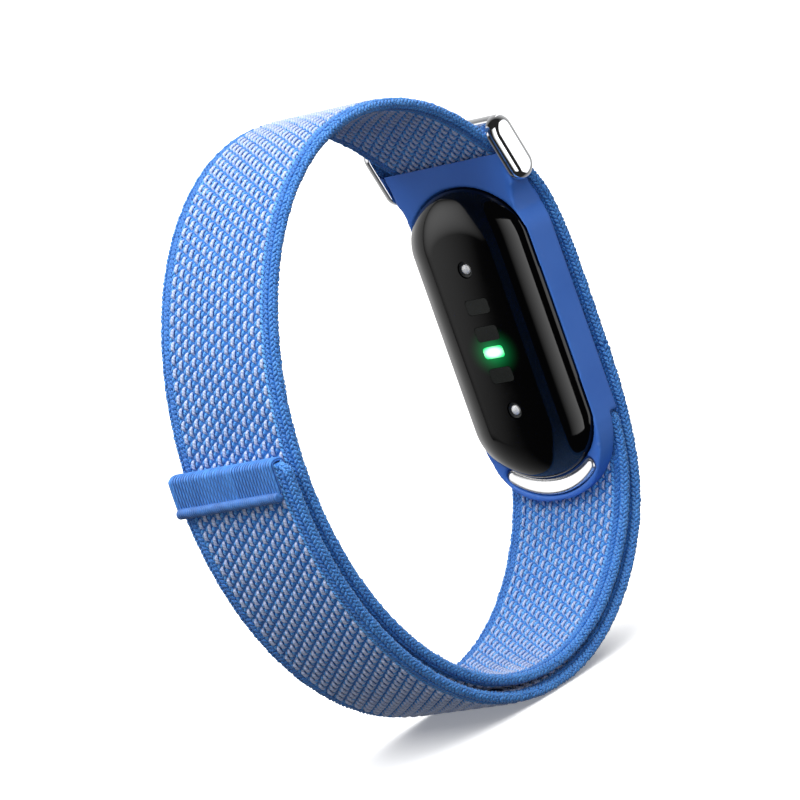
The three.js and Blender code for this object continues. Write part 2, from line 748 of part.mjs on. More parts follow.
// The wall round the light source and the two detectors next to it.
function lightBaffle() {
  const [upper, lower] = [windowsFromMiddle[1], windowsFromMiddle[2]];
  const middle = podCentreZ + (upper + lower) / 2;
  const height = upper - lower + windowSize[1] + 2 * baffleWall;
  const outside = roundedRectangle(windowSize[0] + 2 * baffleWall, height, sensorCornerRadius, 0, middle);
  const frame = pushX(outside, podFaceX + coverSkin + setFit, boardX - setFit);
  const sensors = sensorShapes(slidingFit);
  const openings = [sensors.led, sensors.windows[1], sensors.windows[2]].map((shape) =>
    pushX(shape, podFaceX, boardX + beyond),
  );
  return cut(frame, ...openings);
}

function battery() {
  const [width, height] = batterySize;
  const shape = roundedRectangle(width, height, batteryCorner, 0, podCentreZ + batteryFromMiddle);
  return pushX(shape, batteryX, batteryX + batteryThickness);
}

function batteryGuard() {
  const z = podCentreZ + batteryFromMiddle - batterySize[1] / 2 - batteryGap - guardBoardHeight / 2;
  const shape = roundedRectangle(batterySize[0] - 2 * guardBoardInset, guardBoardHeight, chipCorner, 0, z);
  return pushX(shape, batteryX, batteryX + guardBoardThickness);
}

function vibrationMotor() {
  const z = podTopZ - baseInset - baseWall - 2 * looseFit - motorRadius;
  return pushX(circle(motorRadius, 0, z), batteryX, batteryX + motorThickness);
}

// A flat loop round the board's upper end.
function antenna() {
  const outer = new THREE.Shape(boardOutline());
  outer.holes.push(new THREE.Path(boardOutline(antennaWidth).reverse()));
  const x = boardX - antennaStandoff - antennaThickness;
  const keptFrom = podTopZ - podEndLength;
  const kept = roundedRectangle(podWidth, 2 * podEndLength, sensorCornerRadius, 0, keptFrom + podEndLength);
  return common(pushX(outer, x, x + antennaThickness), pushX(kept, x - beyond, x + beyond));
}

// ---------------------------------------------------------------- assembly
function piece(name, geometry, look) {
  const mesh = new THREE.Mesh(geometry, finish(...look));
  mesh.name = name;
  return mesh;
}

function strapGroup() {
  return new THREE.Group().add(
    piece("woven_strap", strapMain(), BLUE_WEAVE),
    piece("strap_tail", strapTail(), BLUE_WEAVE),
    piece("hook_tape", hookTape(), BLUE_TAPE),
    piece("pull_tab", pullTab(), BLUE_RIBBON),
    piece("tab_piping", tabPiping(), BLUE_RIBBON),
  );
}

function carrierGroup() {
  return new THREE.Group().add(
    piece("carrier", carrier(), BLUE_PLASTIC),
    piece("buckle_frame", buckleFrame(), CHROME),
    piece("buckle_pin", bucklePin(), STEEL),
    piece("release_latch", releaseLatch(), CHROME),
    piece("latch_spring", latchSpring(), STEEL),
  );
}

function sensorGroup() {
  const group = new THREE.Group();
  const shapes = sensorShapes(0);
  group.add(piece("led_window", sensorLens(shapes.led), GREEN_LIT));
  group.add(piece("led_emitter", mounted(emitterSize, 0, ledFromMiddle, emitterThickness), GREEN_LIT));
  shapes.windows.forEach((shape, i) => {
    group.add(piece(`sensor_window_${i + 1}`, sensorLens(shape), SMOKED));
    const diode = mounted(photodiodeSize, 0, windowsFromMiddle[i], emitterThickness);
    group.add(piece(`photodiode_${i + 1}`, diode, CHIP_BLACK));
  });
  ["upper", "lower"].forEach((name, i) => {
    group.add(piece(`contact_${name}`, contact(contactPlaces[i]), STEEL));
    group.add(piece(`contact_collar_${name}`, contactCollar(contactPlaces[i]), BLACK_MATTE));
  });
  group.add(piece("light_baffle", lightBaffle(), BLACK_MATTE));
  return group;
}

function podGroup() {
  return new THREE.Group().add(
    piece("wrist_cover", wristCover(), BLACK_GLOSS),
    piece("pod_base", podBase(), BLACK_MATTE),
    piece("cover_gasket", coverGasket(), RUBBER),
    sensorGroup(),
    piece("main_board", mainBoard(), BOARD_GREEN),
    ...chips.map((each) => piece(each.name, chip(each), CHIP_BLACK)),
    piece("battery", battery(), FOIL),
    piece("battery_guard_board", batteryGuard(), BOARD_GREEN),
    piece("vibration_motor", vibrationMotor(), STEEL),
    piece("antenna", antenna(), FOIL),
  );
}

const group = new THREE.Group();
group.add(strapGroup(), carrierGroup(), podGroup());

export default group;
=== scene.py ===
"""Looks of a woven-strap fitness tracker band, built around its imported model.

Lengths inside the classes are millimetres; every mesh is written in metres in the model's own frame:
the origin in the middle of the wrist opening, Y along the wearer's wrist, Z along the pod.
"""

import json
import logging
import math
from dataclasses import dataclass, field
from enum import Enum

import bpy
import numpy as np
from mathutils import Matrix, Vector

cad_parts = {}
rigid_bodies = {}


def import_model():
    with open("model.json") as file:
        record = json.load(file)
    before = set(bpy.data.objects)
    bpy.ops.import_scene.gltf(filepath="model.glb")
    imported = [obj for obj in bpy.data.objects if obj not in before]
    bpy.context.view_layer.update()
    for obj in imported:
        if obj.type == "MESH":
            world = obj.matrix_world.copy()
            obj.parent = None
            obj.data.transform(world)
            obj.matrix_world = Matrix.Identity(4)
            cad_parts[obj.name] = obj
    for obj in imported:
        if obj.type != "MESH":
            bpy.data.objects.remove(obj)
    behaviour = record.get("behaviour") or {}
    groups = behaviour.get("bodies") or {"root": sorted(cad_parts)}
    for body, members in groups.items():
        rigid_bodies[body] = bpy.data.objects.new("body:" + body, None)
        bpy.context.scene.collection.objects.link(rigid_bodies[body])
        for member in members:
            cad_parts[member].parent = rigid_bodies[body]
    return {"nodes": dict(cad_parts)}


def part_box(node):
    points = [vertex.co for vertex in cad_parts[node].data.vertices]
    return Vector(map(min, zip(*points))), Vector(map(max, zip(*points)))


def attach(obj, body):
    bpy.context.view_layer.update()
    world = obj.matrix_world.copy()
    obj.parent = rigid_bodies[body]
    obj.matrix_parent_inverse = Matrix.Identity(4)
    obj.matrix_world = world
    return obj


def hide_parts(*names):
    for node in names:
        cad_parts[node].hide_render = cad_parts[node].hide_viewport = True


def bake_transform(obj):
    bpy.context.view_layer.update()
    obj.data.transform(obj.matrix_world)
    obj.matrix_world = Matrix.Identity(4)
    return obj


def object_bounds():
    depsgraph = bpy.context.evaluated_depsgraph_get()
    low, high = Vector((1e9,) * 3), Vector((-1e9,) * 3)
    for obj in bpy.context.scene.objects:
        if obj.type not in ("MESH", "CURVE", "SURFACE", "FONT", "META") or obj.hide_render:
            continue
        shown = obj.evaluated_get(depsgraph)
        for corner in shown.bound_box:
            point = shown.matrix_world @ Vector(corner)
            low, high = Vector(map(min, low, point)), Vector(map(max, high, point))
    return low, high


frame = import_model()
CAD_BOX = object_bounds()
log = logging.getLogger("band")
MM = 0.001
Socket = bpy.types.NodeSocket


# ---------------------------------------------------------------- meshes
@dataclass
class MeshParts:
    """Vertices and faces collected for one piece, in millimetres.

    Faces of one width are kept together, with a material number and a UV pair for each corner.
    """

    verts: list = field(default_factory=list)
    faces: list = field(default_factory=list)
    count: int = 0

    def add(self, verts: np.ndarray, faces: list, slot: object = 0, uv: np.ndarray | None = None) -> None:
        """Adds one batch.

        Args:
            verts: the batch's points, one row each.
            faces: arrays of vertex numbers, one array for each number of corners.
            slot: the material slot of the whole batch, or a list with an entry for each array of faces.
            uv: one UV pair for each vertex, or nothing.
        """
        uv = np.zeros((len(verts), 2)) if uv is None else uv
        slots = slot if isinstance(slot, list) else [slot] * len(faces)
        for block, block_slot in zip(faces, slots):
            block = np.asarray(block, dtype=np.int64)
            self.faces.append((block + self.count, block_slot, uv[block.ravel()]))
        self.verts.append(verts)
        self.count += len(verts)

    def make(self, name: str, *materials: bpy.types.Material) -> bpy.types.Object:
        """Writes the mesh and its object.

        Args:
            name: the piece's name.
            materials: the piece's materials, in slot order.

        Returns:
            The new object, linked to the scene.
        """
        mesh = bpy.data.meshes.new(name)
        points = np.concatenate(self.verts) * MM
        mesh.vertices.add(len(points))
        mesh.vertices.foreach_set("co", points.astype(np.float32).ravel())
        corners = np.concatenate([block.ravel() for block, _, _ in self.faces])
        widths = np.concatenate([np.full(len(block), block.shape[1]) for block, _, _ in self.faces])
        slots = np.concatenate([np.full(len(block), slot) for block, slot, _ in self.faces])
        starts = np.concatenate([[0], np.cumsum(widths)[:-1]])
        mesh.loops.add(len(corners))
        mesh.loops.foreach_set("vertex_index", corners.astype(np.int32))
        mesh.polygons.add(len(widths))
        mesh.polygons.foreach_set("loop_start", starts.astype(np.int32))
        mesh.polygons.foreach_set("material_index", slots.astype(np.int32))
        mesh.update(calc_edges=True)
        layer = mesh.uv_layers.new(name="yarn")
        pairs = np.concatenate([uv for _, _, uv in self.faces])
        layer.data.foreach_set("uv", pairs.astype(np.float32).ravel())
        mesh.polygons.foreach_set("use_smooth", np.full(len(widths), True))
        for material in materials:
            mesh.materials.append(material)
        mesh.validate()
        return linked(name, mesh)


def linked(name: str, data: bpy.types.ID) -> bpy.types.Object:
    """A new object in the scene that holds a mesh, a light or a camera.

    Args:
        name: its name.
        data: what it holds.

    Returns:
        The new object.
    """
    made = bpy.data.objects.new(name, data)
    bpy.context.scene.collection.objects.link(made)
    return made


def solid(name: str, points: np.ndarray, faces: list, *materials: bpy.types.Material) -> bpy.types.Object:
    """A piece made from one batch of faces.

    Args:
        name: the piece's name.
        points: its points in millimetres.
        faces: its faces, as MeshParts.add takes them.
        materials: its materials, in slot order.

    Returns:
        The piece.
    """
    parts = MeshParts()
    parts.add(points, faces)
    return parts.make(name, *materials)


def reversed_faces(faces: list) -> list:
    """The same faces, seen from their other side."""
    return [face[:, ::-1] for face in faces]


def circle(sides: int) -> np.ndarray:
    """Evenly spaced angles round a full turn."""
    return np.linspace(0, 2 * math.pi, sides, endpoint=False)


def ring_faces(count: int, rings: int, sides: int, closed_ends: bool = True) -> list:
    """Faces of equal tubes whose vertices run tube by tube, ring by ring.

    Args:
        count: how many tubes.
        rings: rings in each tube.
        sides: points in each ring.
        closed_ends: whether each tube ends in a cap.

    Returns:
        The quads, and the caps where there are any.
    """
    base = np.arange(count)[:, None, None] * rings * sides
    ring = np.arange(rings - 1)[None, :, None] * sides
    side = np.arange(sides)[None, None, :]
    nextside = (side + 1) % sides
    here, after = base + ring, base + ring + sides
    corners = [here + side, here + nextside, after + nextside, after + side]
    quads = np.stack([np.broadcast_to(c, (count, rings - 1, sides)) for c in corners], -1).reshape(-1, 4)
    if not closed_ends:
        return [quads]
    first = base[:, :, 0] + np.arange(sides)[None, ::-1]
    last = base[:, :, 0] + (rings - 1) * sides + np.arange(sides)[None, :]
    return [quads, np.concatenate([first, last])]


def pillow(outline: np.ndarray, low: float, high: float, low_round: float, high_round: float) -> tuple:
    """A plate with rounded rims over a closed outline that runs counter-clockwise.

    Args:
        outline: the outline's (u, v) points.
        low: the plate's low face.
        high: the plate's high face.
        low_round: radius of the low rim.
        high_round: radius of the high rim.

    Returns:
        The points as (u, v, w) rows, and the faces.
    """
    past_rim, steps = 0.03, 10
    along = np.roll(outline, -1, 0) - np.roll(outline, 1, 0)
    normal = np.stack([along[:, 1], -along[:, 0]], 1)
    normal /= np.linalg.norm(normal, axis=1, keepdims=True)
    turns = np.linspace(0, math.pi / 2, steps + 1)
    places = [(low_round + past_rim, low)]
    places += [(low_round * (1 - math.sin(t)), low + low_round * (1 - math.cos(t))) for t in turns]
    places += [(high_round * (1 - math.cos(t)), high - high_round * (1 - math.sin(t))) for t in turns]
    places += [(high_round + past_rim, high)]
    rings = [np.column_stack([outline - normal * inset, np.full(len(outline), w)]) for inset, w in places]
    return np.concatenate(rings), ring_faces(1, len(rings), len(outline))


def turned(profile: list, sides: int = 48) -> tuple:
    """A turned body round the w axis.

    Args:
        profile: (radius, w) pairs from the low end to the high end.
        sides: points in each ring.

    Returns:
        The points as (u, v, w) rows, and the faces.
    """
    return turned_rings(profile, sides), ring_faces(1, len(profile), sides)


def turned_rings(profile: list, sides: int) -> np.ndarray:
    """The points of round rings, one for each (radius, w) pair.

    Args:
        profile: (radius, w) pairs.
        sides: points in each ring.

    Returns:
        One (u, v, w) row for each point.
    """
    angle = circle(sides)
    rings = [np.column_stack([r * np.cos(angle), r * np.sin(angle), np.full(sides, w)]) for r, w in profile]
    return np.concatenate(rings)


def along_x(points: np.ndarray) -> np.ndarray:
    """Turns (u, v, w) points so that u is Y, v is Z and w is X."""
    return points[:, [2, 0, 1]]


def along_y(points: np.ndarray) -> np.ndarray:
    """Turns (u, v, w) points so that u is X, v is Z and w is -Y."""
    return np.column_stack([points[:, 0], -points[:, 2], points[:, 1]])


# ---------------------------------------------------------------- shader groups
class Graph:
    """Adds nodes to a tree and links them by socket name."""

    def __init__(self, tree: bpy.types.NodeTree) -> None:
        """Keeps the tree."""
        self.tree = tree

    def feed(self, node: bpy.types.Node, inputs: dict) -> None:
        """Links or sets a node's inputs.

        Args:
            node: the node.
            inputs: a value or an output socket for each input, by name or number.
        """
        for key, value in inputs.items():
            if isinstance(value, bpy.types.NodeSocket):
                self.tree.links.new(value, node.inputs[key])
            else:
                node.inputs[key].default_value = value

    def node(self, kind: str, inputs: dict | None = None, **settings: object) -> bpy.types.Node:
        """Adds one node.

        Args:
            kind: the node's Blender type.
            inputs: its inputs, as in feed.
            settings: the node's own properties.

        Returns:
            The node.
        """
        made = self.tree.nodes.new(kind)
        for key, value in settings.items():
            setattr(made, key, value)
        self.feed(made, inputs or {})
        return made

    def math(self, kind: str, a: object, b: object = 0.0, c: object = 0.0, clamp: bool = False) -> Socket:
        """One Math node's result."""
        return self.node("ShaderNodeMath", {0: a, 1: b, 2: c}, operation=kind, use_clamp=clamp).outputs[0]

    def product(self, first: object, *others: object) -> Socket:
        """Numbers multiplied together.

        Args:
            first: the first number.
            others: the rest.

        Returns:
            The product.
        """
        for other in others:
            first = self.math("MULTIPLY", first, other)
        return first

    def mix(self, share: object, a: object, b: object, blend: str = "MIX") -> Socket:
        """One colour mixed from two."""
        mixed = self.node("ShaderNodeMix", {0: share, 6: a, 7: b}, data_type="RGBA", blend_type=blend)
        return mixed.outputs[2]

    def span(self, value: Socket, low: object, high: object, first: float = 0.0, last: float = 1.0) -> Socket:
        """A number mapped from one range to another, and kept inside it."""
        inputs = {"Value": value, 1: low, 2: high, 3: first, 4: last}
        return self.node("ShaderNodeMapRange", inputs).outputs[0]

    def noise(self, place: Socket, scale: object, detail: float) -> Socket:
        """Noise between 0 and 1."""
        inputs = {"Vector": place, "Scale": scale, "Detail": detail}
        return self.node("ShaderNodeTexNoise", inputs).outputs["Fac"]

    def object_place(self) -> Socket:
        """Where a point lies on the resting object."""
        return self.node("ShaderNodeTexCoord").outputs["Object"]

    def axes(self, place: Socket) -> bpy.types.bpy_prop_collection:
        """A vector's X, Y and Z."""
        return self.node("ShaderNodeSeparateXYZ", {0: place}).outputs

    def grey(self, value: Socket) -> Socket:
        """A number as a colour."""
        return self.node("ShaderNodeCombineColor", {0: value, 1: value, 2: value}).outputs[0]

    def bumped(self, height: Socket, strength: float, depth_mm: float) -> Socket:
        """The normal that a height gives.

        Args:
            height: the height.
            strength: the bump's strength.
            depth_mm: depth of a height of one.

        Returns:
            The normal.
        """
        return self.node(
            "ShaderNodeBump", {"Strength": strength, "Distance": depth_mm * MM, "Height": height}
        ).outputs["Normal"]


class Effect(Enum):
    """The effects that several finishes share."""

    FIBRE = "twisted_fibre"
    DRIFT = "colour_drift"
    GRAIN = "moulded_grain"
    WEAR = "edge_wear"
    SMUDGE = "handling_marks"


class EffectGroup(Graph):
    """A shared node group while it's built."""

    def __init__(self, effect: Effect, inputs: dict) -> None:
        """Starts the group.

        Args:
            effect: which effect it gives.
            inputs: each input's name with its default, a number or a colour.
        """
        super().__init__(bpy.data.node_groups.new(effect.value, "ShaderNodeTree"))
        for key, value in inputs.items():
            kind = "NodeSocketFloat" if isinstance(value, float) else "NodeSocketColor"
            socket = self.tree.interface.new_socket(key, in_out="INPUT", socket_type=kind)
            socket.default_value = value
        self.given = self.node("NodeGroupInput").outputs

    def give(self, **results: Socket) -> bpy.types.NodeTree:
        """Links each result to an output of its name, and returns the group.

        Args:
            results: the results, by output name.

        Returns:
            The group.
        """
        for key in results:
            kind = "NodeSocketColor" if key == "Colour" else "NodeSocketFloat"
            self.tree.interface.new_socket(key, in_out="OUTPUT", socket_type=kind)
        self.feed(self.node("NodeGroupOutput"), results)
        return self.tree


class EffectKit:
    """Builds each shared effect once and places it in finishes."""

    def __init__(self) -> None:
        """Builds every group."""
        self.groups = {
            Effect.FIBRE: self._fibre(),
            Effect.DRIFT: self._drift(),
            Effect.GRAIN: self._grain(),
            Effect.WEAR: self._wear(),
            Effect.SMUDGE: self._smudge(),
        }

    def place(self, graph: Graph, effect: Effect, **values: object) -> bpy.types.bpy_prop_collection:
        """Puts one effect in a finish.

        Args:
            graph: the finish's graph.
            effect: which effect.
            values: its inputs, with spaces in their names written as underscores.

        Returns:
            The effect's outputs, by name.
        """
        node = graph.node("ShaderNodeGroup", node_tree=self.groups[effect])
        graph.feed(node, {key.replace("_", " "): value for key, value in values.items()})
        return node.outputs

    def drift(self, graph: Graph, tone: str, second_tone: str, scale: float, amount: float = 1.0) -> Socket:
        """A colour that drifts between two tones."""
        tones = {"Tone": colour(tone), "Second_tone": colour(second_tone)}
        return self.place(graph, Effect.DRIFT, **tones, Scale=scale, Amount=amount)["Colour"]

    @staticmethod
    def _fibre() -> bpy.types.NodeTree:
        """Plies that spiral round a yarn, with finer filaments between them. Its Mask, dark between the plies,
        is used as painted shade.

        Returns:
            The group.
        """
        g = EffectGroup(Effect.FIBRE, {"Plies per mm": 1.6, "Filaments": 9.0})
        place = g.node("ShaderNodeUVMap", uv_map="yarn").outputs["UV"]
        parts = g.axes(place)
        turn = g.math("ADD", g.product(parts["X"], g.given["Plies per mm"]), parts["Y"])
        ply = g.math("SINE", g.product(turn, 4 * math.pi))
        stretched = g.node("ShaderNodeMapping", {"Vector": place, "Scale": (1.5, 6.0, 1.0)}).outputs[0]
        fine = g.noise(stretched, g.given["Filaments"], 3.0)
        return g.give(
            Height=g.math("ADD", g.product(ply, 0.35), g.product(fine, 0.9)),
            Mask=g.math("MULTIPLY", g.math("ADD", ply, 1.0), fine, clamp=True),
        )

    @staticmethod
    def _drift() -> bpy.types.NodeTree:
        """A slow drift between two tones of one colour.

        Returns:
            The group.
        """
        grey, darker = (0.5, 0.5, 0.5, 1.0), (0.4, 0.4, 0.4, 1.0)
        g = EffectGroup(Effect.DRIFT, {"Tone": grey, "Second tone": darker, "Scale": 150.0, "Amount": 1.0})
        cloud = g.span(g.noise(g.object_place(), g.given["Scale"], 4.0), 0.35, 0.65)
        share = g.math("MULTIPLY", cloud, g.given["Amount"], clamp=True)
        return g.give(Colour=g.mix(share, g.given["Tone"], g.given["Second tone"]))

    @staticmethod
    def _grain() -> bpy.types.NodeTree:
        """The fine spark-eroded grain of a mould.

        Returns:
            The group.
        """
        g = EffectGroup(Effect.GRAIN, {"Scale": 4000.0})
        place = g.object_place()
        cells = g.node("ShaderNodeTexVoronoi", {"Vector": place, "Scale": g.given["Scale"]})
        pits = g.product(cells.outputs["Distance"], 0.5)
        return g.give(Height=g.math("ADD", g.noise(place, g.given["Scale"], 2.0), pits))

    @staticmethod
    def _wear() -> bpy.types.NodeTree:
        """A mask of the edges that hands and clothes rub, broken up by noise.

        Returns:
            The group.
        """
        g = EffectGroup(Effect.WEAR, {"From": 0.52, "To": 0.62, "Breakup": 700.0})
        point = g.node("ShaderNodeNewGeometry").outputs["Pointiness"]
        edge = g.span(point, g.given["From"], g.given["To"])
        broken = g.noise(g.object_place(), g.given["Breakup"], 4.0)
        return g.give(Mask=g.math("MULTIPLY", edge, broken, clamp=True))

    @staticmethod
    def _smudge() -> bpy.types.NodeTree:
        """Roughness that rises in soft handling marks and hairline scratches.

        Returns:
            The group.
        """
        g = EffectGroup(Effect.SMUDGE, {"Polish": 0.05, "Marked": 0.15, "Scale": 120.0})
        place = g.object_place()
        lean = {"Vector": place, "Rotation": (0.4, 0.9, 0.3), "Scale": (1.0, 14.0, 1.0)}
        drawn_out = g.node("ShaderNodeMapping", lean).outputs[0]
        scratch = g.product(g.span(g.noise(drawn_out, 900.0, 1.0), 0.68, 0.78), 0.6)
        mark = g.span(g.noise(place, g.given["Scale"], 5.0), 0.45, 0.75)
        mask = g.math("MAXIMUM", mark, scratch)
        spread = g.math("SUBTRACT", g.given["Marked"], g.given["Polish"])
        return g.give(Roughness=g.math("MULTIPLY_ADD", mask, spread, g.given["Polish"]), Mask=mask)


def colour(code: str) -> tuple:
    """A linear RGBA colour from a six-digit sRGB code.

    Args:
        code: the code, without a mark before it.

    Returns:
        Red, green, blue and alpha.
    """
    parts = [int(code[i : i + 2], 16) / 255 for i in (0, 2, 4)]
    linear = [p / 12.92 if p <= 0.04045 else ((p + 0.055) / 1.055) ** 2.4 for p in parts]
    return (*linear, 1.0)


# ---------------------------------------------------------------- finishes
@dataclass(frozen=True)
class Finish:
    """A finish on a Principled shader, under its own name."""

    name: str

    def sockets(self, kit: EffectKit, g: Graph) -> dict:
        """What the shader's inputs hold, by name."""
        raise NotImplementedError

    def make(self, kit: EffectKit) -> bpy.types.Material:
        """Builds the material.

        Args:
            kit: the shared effects.

        Returns:
            The material.
        """
        material = bpy.data.materials.new(self.name)
        material.use_nodes = True
        graph = Graph(material.node_tree)
        graph.feed(material.node_tree.nodes["Principled BSDF"], self.sockets(kit, graph))
        return material


@dataclass(frozen=True)
class YarnFinish(Finish):
    """Twisted polyester yarn: matt, with plies, filaments and a soft sheen."""

    tone: str
    second_tone: str
    roughness: float = 0.75
    sheen: float = 0.35
    plies_per_mm: float = 1.3
    depth_mm: float = 0.05

    def sockets(self, kit: EffectKit, g: Graph) -> dict:
        """What the shader's inputs hold, by name.

        Args:
            kit: the shared effects.
            g: the material's graph.

        Returns:
            A value or an output socket for each input.
        """
        fibre = kit.place(g, Effect.FIBRE, Plies_per_mm=self.plies_per_mm)
        drift = kit.drift(g, self.tone, self.second_tone, 420.0)
        # painted shade: the colour is darker between the plies and lighter on them, broken up by the filament
        # noise
        shade = g.grey(g.math("MULTIPLY_ADD", fibre["Mask"], 0.35, 0.75))
        return {
            "Base Color": g.mix(1.0, drift, shade, "MULTIPLY"),
            "Normal": g.bumped(fibre["Height"], 0.6, self.depth_mm),
            "Roughness": self.roughness,
            "Sheen Weight": self.sheen,
            "Sheen Roughness": 0.5,
            "Specular IOR Level": 0.5,
        }


@dataclass(frozen=True)
class MouldedFinish(Finish):
    """Moulded plastic or rubber: a fine grain, a drift of tone, and edges that polish with use."""

    tone: str
    second_tone: str
    worn_tone: str
    roughness: float
    marked: float
    grain_mm: float = 0.004
    coat: float = 0.0

    def sockets(self, kit: EffectKit, g: Graph) -> dict:
        """What the shader's inputs hold, by name.

        Args:
            kit: the shared effects.
            g: the material's graph.

        Returns:
            A value or an output socket for each input.
        """
        drift = kit.drift(g, self.tone, self.second_tone, 90.0)
        worn = kit.place(g, Effect.WEAR)["Mask"]
        smudge = kit.place(g, Effect.SMUDGE, Polish=self.roughness, Marked=self.marked)
        return {
            "Base Color": g.mix(worn, drift, colour(self.worn_tone)),
            "Roughness": smudge["Roughness"],
            "Normal": g.bumped(kit.place(g, Effect.GRAIN)["Height"], 0.35, self.grain_mm),
            "Coat Weight": self.coat,
            "Coat Roughness": 0.3,
        }


@dataclass(frozen=True)
class MetalFinish(Finish):
    """Metal, from mirror polish to a plain machined surface."""

    tone: str
    polish: float
    marked: float
    metallic: float = 1.0

    def sockets(self, kit: EffectKit, g: Graph) -> dict:
        """What the shader's inputs hold, by name.

        Args:
            kit: the shared effects.
            g: the material's graph.

        Returns:
            A value or an output socket for each input.
        """
        smudge = kit.place(g, Effect.SMUDGE, Polish=self.polish, Marked=self.marked, Scale=260.0)
        return {
            "Base Color": kit.drift(g, self.tone, "d2d4d8", 200.0, 0.25),
            "Roughness": smudge["Roughness"],
            "Normal": g.bumped(smudge["Mask"], 0.05, 0.002),
            "Metallic": self.metallic,
        }


@dataclass(frozen=True)
class CoverFinish(Finish):
    """The pod's black gloss cover, with a painted green glow of the light under its window."""

    tone: str
    glow_tone: str
    glow_z: float
    glow_reach: float
    crown: float = 0.013

    def sockets(self, kit: EffectKit, g: Graph) -> dict:
        """What the shader's inputs hold, by name.

        Args:
            kit: the shared effects.
            g: the material's graph.

        Returns:
            A value or an output socket for each input.
        """
        smudge = kit.place(g, Effect.SMUDGE, Polish=0.06, Marked=0.14, Scale=110.0)
        parts = g.axes(g.object_place())
        # painted glow: a green emission round the LED window that fades outwards, standing in for the LED's
        # light falling on the cover
        across = g.math("DIVIDE", parts["Y"], self.glow_reach * 1.25 * MM)
        up = g.math("DIVIDE", g.math("SUBTRACT", parts["Z"], self.glow_z * MM), self.glow_reach * MM)
        far = g.math("SQRT", g.math("ADD", g.product(across, across), g.product(up, up)))
        glow = g.grey(g.math("POWER", g.math("SUBTRACT", 1.0, far, clamp=True), 2.6))
        crown = g.product(parts["Y"], parts["Y"], -self.crown / MM)
        return {
            "Base Color": kit.drift(g, self.tone, "020203", 60.0),
            "Roughness": smudge["Roughness"],
            "Emission Color": g.mix(1.0, glow, colour(self.glow_tone), "MULTIPLY"),
            "Emission Strength": 0.9,
            "Normal": g.bumped(crown, 1.0, 1.0 / MM),
        }


@dataclass(frozen=True)
class LitFinish(Finish):
    """A clear window with a green light source close behind it."""

    core_tone: str
    rim_tone: str
    middle: tuple
    half: tuple
    strength: float

    def sockets(self, kit: EffectKit, g: Graph) -> dict:
        """What the shader's inputs hold, by name.

        Args:
            kit: the shared effects.
            g: the material's graph.

        Returns:
            A value or an output socket for each input.
        """
        parts = g.axes(g.object_place())
        shares = []
        for axis, middle, half in zip(("Y", "Z"), self.middle, self.half):
            off = g.math("DIVIDE", g.math("SUBTRACT", parts[axis], middle * MM), half * MM)
            shares.append(g.product(off, off))
        rim = g.span(g.math("SQRT", g.math("ADD", *shares)), 0.45, 1.15)
        tone = g.mix(rim, colour(self.core_tone), colour(self.rim_tone))
        return {
            "Emission Color": tone,
            "Base Color": tone,
            "Normal": g.bumped(kit.place(g, Effect.GRAIN, Scale=2500.0)["Height"], 0.2, 0.003),
            "Emission Strength": self.strength,
            "Roughness": 0.25,
        }


@dataclass(frozen=True)
class StageFinish(Finish):
    """The plain pale floor, kept bright by a little light of its own."""

    tone: str
    lift: float

    def sockets(self, kit: EffectKit, g: Graph) -> dict:
        """What the shader's inputs hold, by name.

        Args:
            kit: the shared effects.
            g: the material's graph.

        Returns:
            A value or an output socket for each input.
        """
        return {
            "Base Color": kit.drift(g, self.tone, self.tone, 2.0),
            "Emission Color": (1, 1, 1, 1),
            "Emission Strength": self.lift,
            "Roughness": 1.0,
            "Specular IOR Level": 0.0,
        }


@dataclass(frozen=True)
class CardFinish:
    """A glowing studio card, fading towards one side."""

    name: str
    strength: float
    fade: float = 0.0
    soft: float = 0.0

    def make(self) -> bpy.types.Material:
        """Builds the material.

        Returns:
            The material.
        """
        material = bpy.data.materials.new(self.name)
        material.use_nodes = True
        material.node_tree.nodes.clear()
        g = Graph(material.node_tree)
        share = g.axes(g.node("ShaderNodeTexCoord").outputs["Generated"])
        slope = g.math("POWER", g.math("MAXIMUM", share["X"], 0.001), self.fade)
        for axis in ("X", "Y"):
            hill = g.product(share[axis], g.math("SUBTRACT", 1.0, share[axis]))
            slope = g.product(slope, g.math("POWER", g.product(g.math("MAXIMUM", hill, 0.0), 4.0), self.soft))
        glow = g.node("ShaderNodeEmission", {"Strength": g.product(slope, self.strength)})
        g.feed(g.node("ShaderNodeOutputMaterial"), {"Surface": glow.outputs[0]})
        return material


